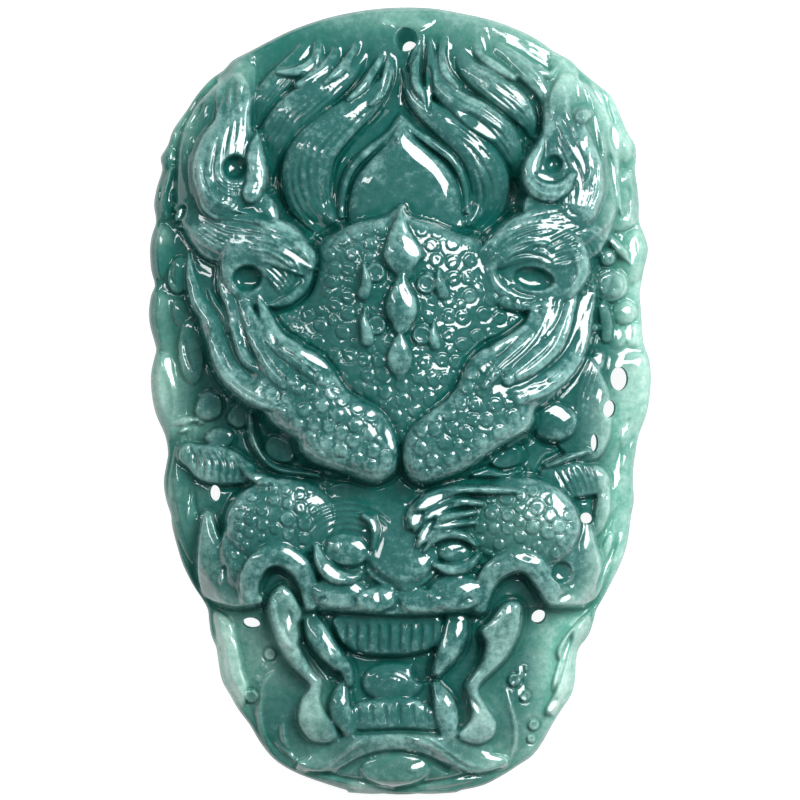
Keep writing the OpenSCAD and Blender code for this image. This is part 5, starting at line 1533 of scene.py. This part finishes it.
def jade():
    """Polished blue-green jade, cloudy with flecks; painted shade darkens its hollows and its rim, painted
    light makes its crests paler, painted glow and sheen make places milky, and its bores get painted shade
    and glow.
    """
    n = Nodes("jade")
    # painted shade in the hollows and painted light on the crests, added to the stone's own clouds and
    # flecks
    depth = n.ranged(n.field("hollow"), *HOLLOW_LIFT)
    crest = n.ranged(n.field("crest"), *CREST_LIFT)
    clouds = n.ranged(n.noise(*CLOUDS), *CLOUD_LIFT)
    flecks = n.ranged(n.noise(*FLECKS), *FLECK_LIFT)
    shade_light_and_mottle = n.maths("ADD", n.maths("ADD", depth, crest), n.maths("ADD", clouds, flecks))
    body = n.blend(n.ranged(shade_light_and_mottle, *TO_BODY), linear(DEEP), linear(BODY))
    body = n.blend(n.ranged(shade_light_and_mottle, *TO_BRIGHT), body, linear(BRIGHT))
    # painted shade, darker towards the rim
    body = n.blend(n.ranged(n.field("rim"), *TO_RIM_SHADE), body, linear(RIM_SHADE))
    # painted glow and sheen where the stone is made paler, lighter still on the crests
    milky_glow = n.blend(n.ranged(shade_light_and_mottle, *TO_MILKY_GLOW), linear(MILKY_GLOW_DIM), linear(MILKY_GLOW))
    body = n.blend(n.ranged(n.field("pale"), *PALE_PART), body, milky_glow)
    above = n.add("ShaderNodeSeparateXYZ")
    n.join(n.add("ShaderNodeTexCoord").outputs["Object"], above.inputs[0])
    below_face = n.maths("SUBTRACT", n.field("height"), n.maths("DIVIDE", above.outputs["Z"], MM))
    bored = n.maths("MULTIPLY", n.ranged(below_face, *BELOW_FACE), n.ranged(n.field("rim"), *IN_FROM_RIM))
    # painted shade on the drilled walls
    body = n.blend(n.maths("MULTIPLY", bored, BORE_SHADE_PART), body, linear(BORE))
    n.join(body, n.shader.inputs["Base Color"])
    n.join(n.ranged(bored, *BORE_ROUGH), n.shader.inputs["Roughness"])
    # light that comes through the stone into its bores
    n.join(n.blend(bored, linear(BLACK), linear(BORE_LIGHT)), n.shader.inputs["Emission Color"])
    for name, value in JADE_SETTINGS.items():
        n.shader.inputs[name].default_value = value
    wave = n.add("ShaderNodeBump")
    wave.inputs["Strength"].default_value = WAVE_STRENGTH
    wave.inputs["Distance"].default_value = WAVE_HEIGHT
    n.join(n.noise(*WAVINESS), wave.inputs["Height"])
    n.join(wave.outputs["Normal"], n.shader.inputs["Normal"])
    return n.material


def pale_floor():
    """A matt white table lit softly from below."""
    n = Nodes("pale_floor")
    shade = n.blend(n.noise(*TABLE), linear(TABLE_DIM), linear(TABLE_WHITE))
    n.join(n.blend(TABLE_DARKER, shade, linear(TABLE_SHADE)), n.shader.inputs["Base Color"])
    n.join(shade, n.shader.inputs["Emission Color"])
    n.shader.inputs["Emission Strength"].default_value = TABLE_LIGHT
    n.shader.inputs["Roughness"].default_value = TABLE_ROUGH
    return n.material


# The scene

FRAME_WIDE = 0.064  # metres that the picture is wide at the floor
SENSOR = 36.0
CLIP_FROM = 0.01
ROOM_COLOUR = (0.9, 0.95, 1.0, 1.0)
ROOM_LIGHT = 0.18
FLOOR_HALF = 1.5
FLOOR_BELOW = 0.02 * MM  # so that the back and the floor don't flicker
LIGHTS = (
    # name, direction from the stone, distance, width, height, watts, seen in reflections
    ("key", (0.47, 0.39, 0.80), 0.5, 0.22, 0.33, 3.9, True),
    ("strip", (-0.60, 0.30, 0.72), 0.5, 0.04, 0.34, 0.5, True),
    ("fill", (-0.10, 0.20, 1.00), 0.9, 0.70, 0.70, 1.2, False),
)


def add_camera():
    """The camera straight above the stone, with the photograph's frame."""
    data = bpy.data.cameras.new("camera")
    data.sensor_width = SENSOR
    data.lens = SENSOR * CAMERA_AWAY / FRAME_WIDE
    data.clip_start = CLIP_FROM
    camera = bpy.data.objects.new("camera", data)
    camera.location = (0, 0, CAMERA_AWAY)
    bpy.context.scene.collection.objects.link(camera)
    bpy.context.scene.camera = camera


def add_lights():
    """Softboxes above the stone and a dim room."""
    for name, toward, away, wide, high, watts, mirrored in LIGHTS:
        data = bpy.data.lights.new(name, "AREA")
        data.shape = "RECTANGLE"
        data.size = wide
        data.size_y = high
        data.energy = watts
        light = bpy.data.objects.new(name, data)
        direction = Vector(toward).normalized()
        light.location = away * direction
        light.rotation_mode = "QUATERNION"
        light.rotation_quaternion = direction.to_track_quat("Z", "Y")
        light.visible_glossy = mirrored
        bpy.context.scene.collection.objects.link(light)
    world = bpy.data.worlds.new("room")
    world.use_nodes = True
    background = world.node_tree.nodes["Background"]
    background.inputs["Color"].default_value = ROOM_COLOUR
    background.inputs["Strength"].default_value = ROOM_LIGHT
    bpy.context.scene.world = world


def add_floor():
    mesh = bpy.data.meshes.new("floor")
    r = FLOOR_HALF
    mesh.from_pydata([(-r, -r, 0), (r, -r, 0), (r, r, 0), (-r, r, 0)], [], [(0, 1, 2, 3)])
    mesh.materials.append(pale_floor())
    floor = add_object("floor", mesh)
    floor.location = (0, 0, -FLOOR_BELOW)
    return floor


def main():
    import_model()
    bpy.context.scene.view_settings.view_transform = "Standard"
    stone = carve(FINE_STEP)
    piece = build_stone(stone)
    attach(piece, "root")
    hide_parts("carved_pendant")
    add_floor()
    add_camera()
    add_lights()


main()
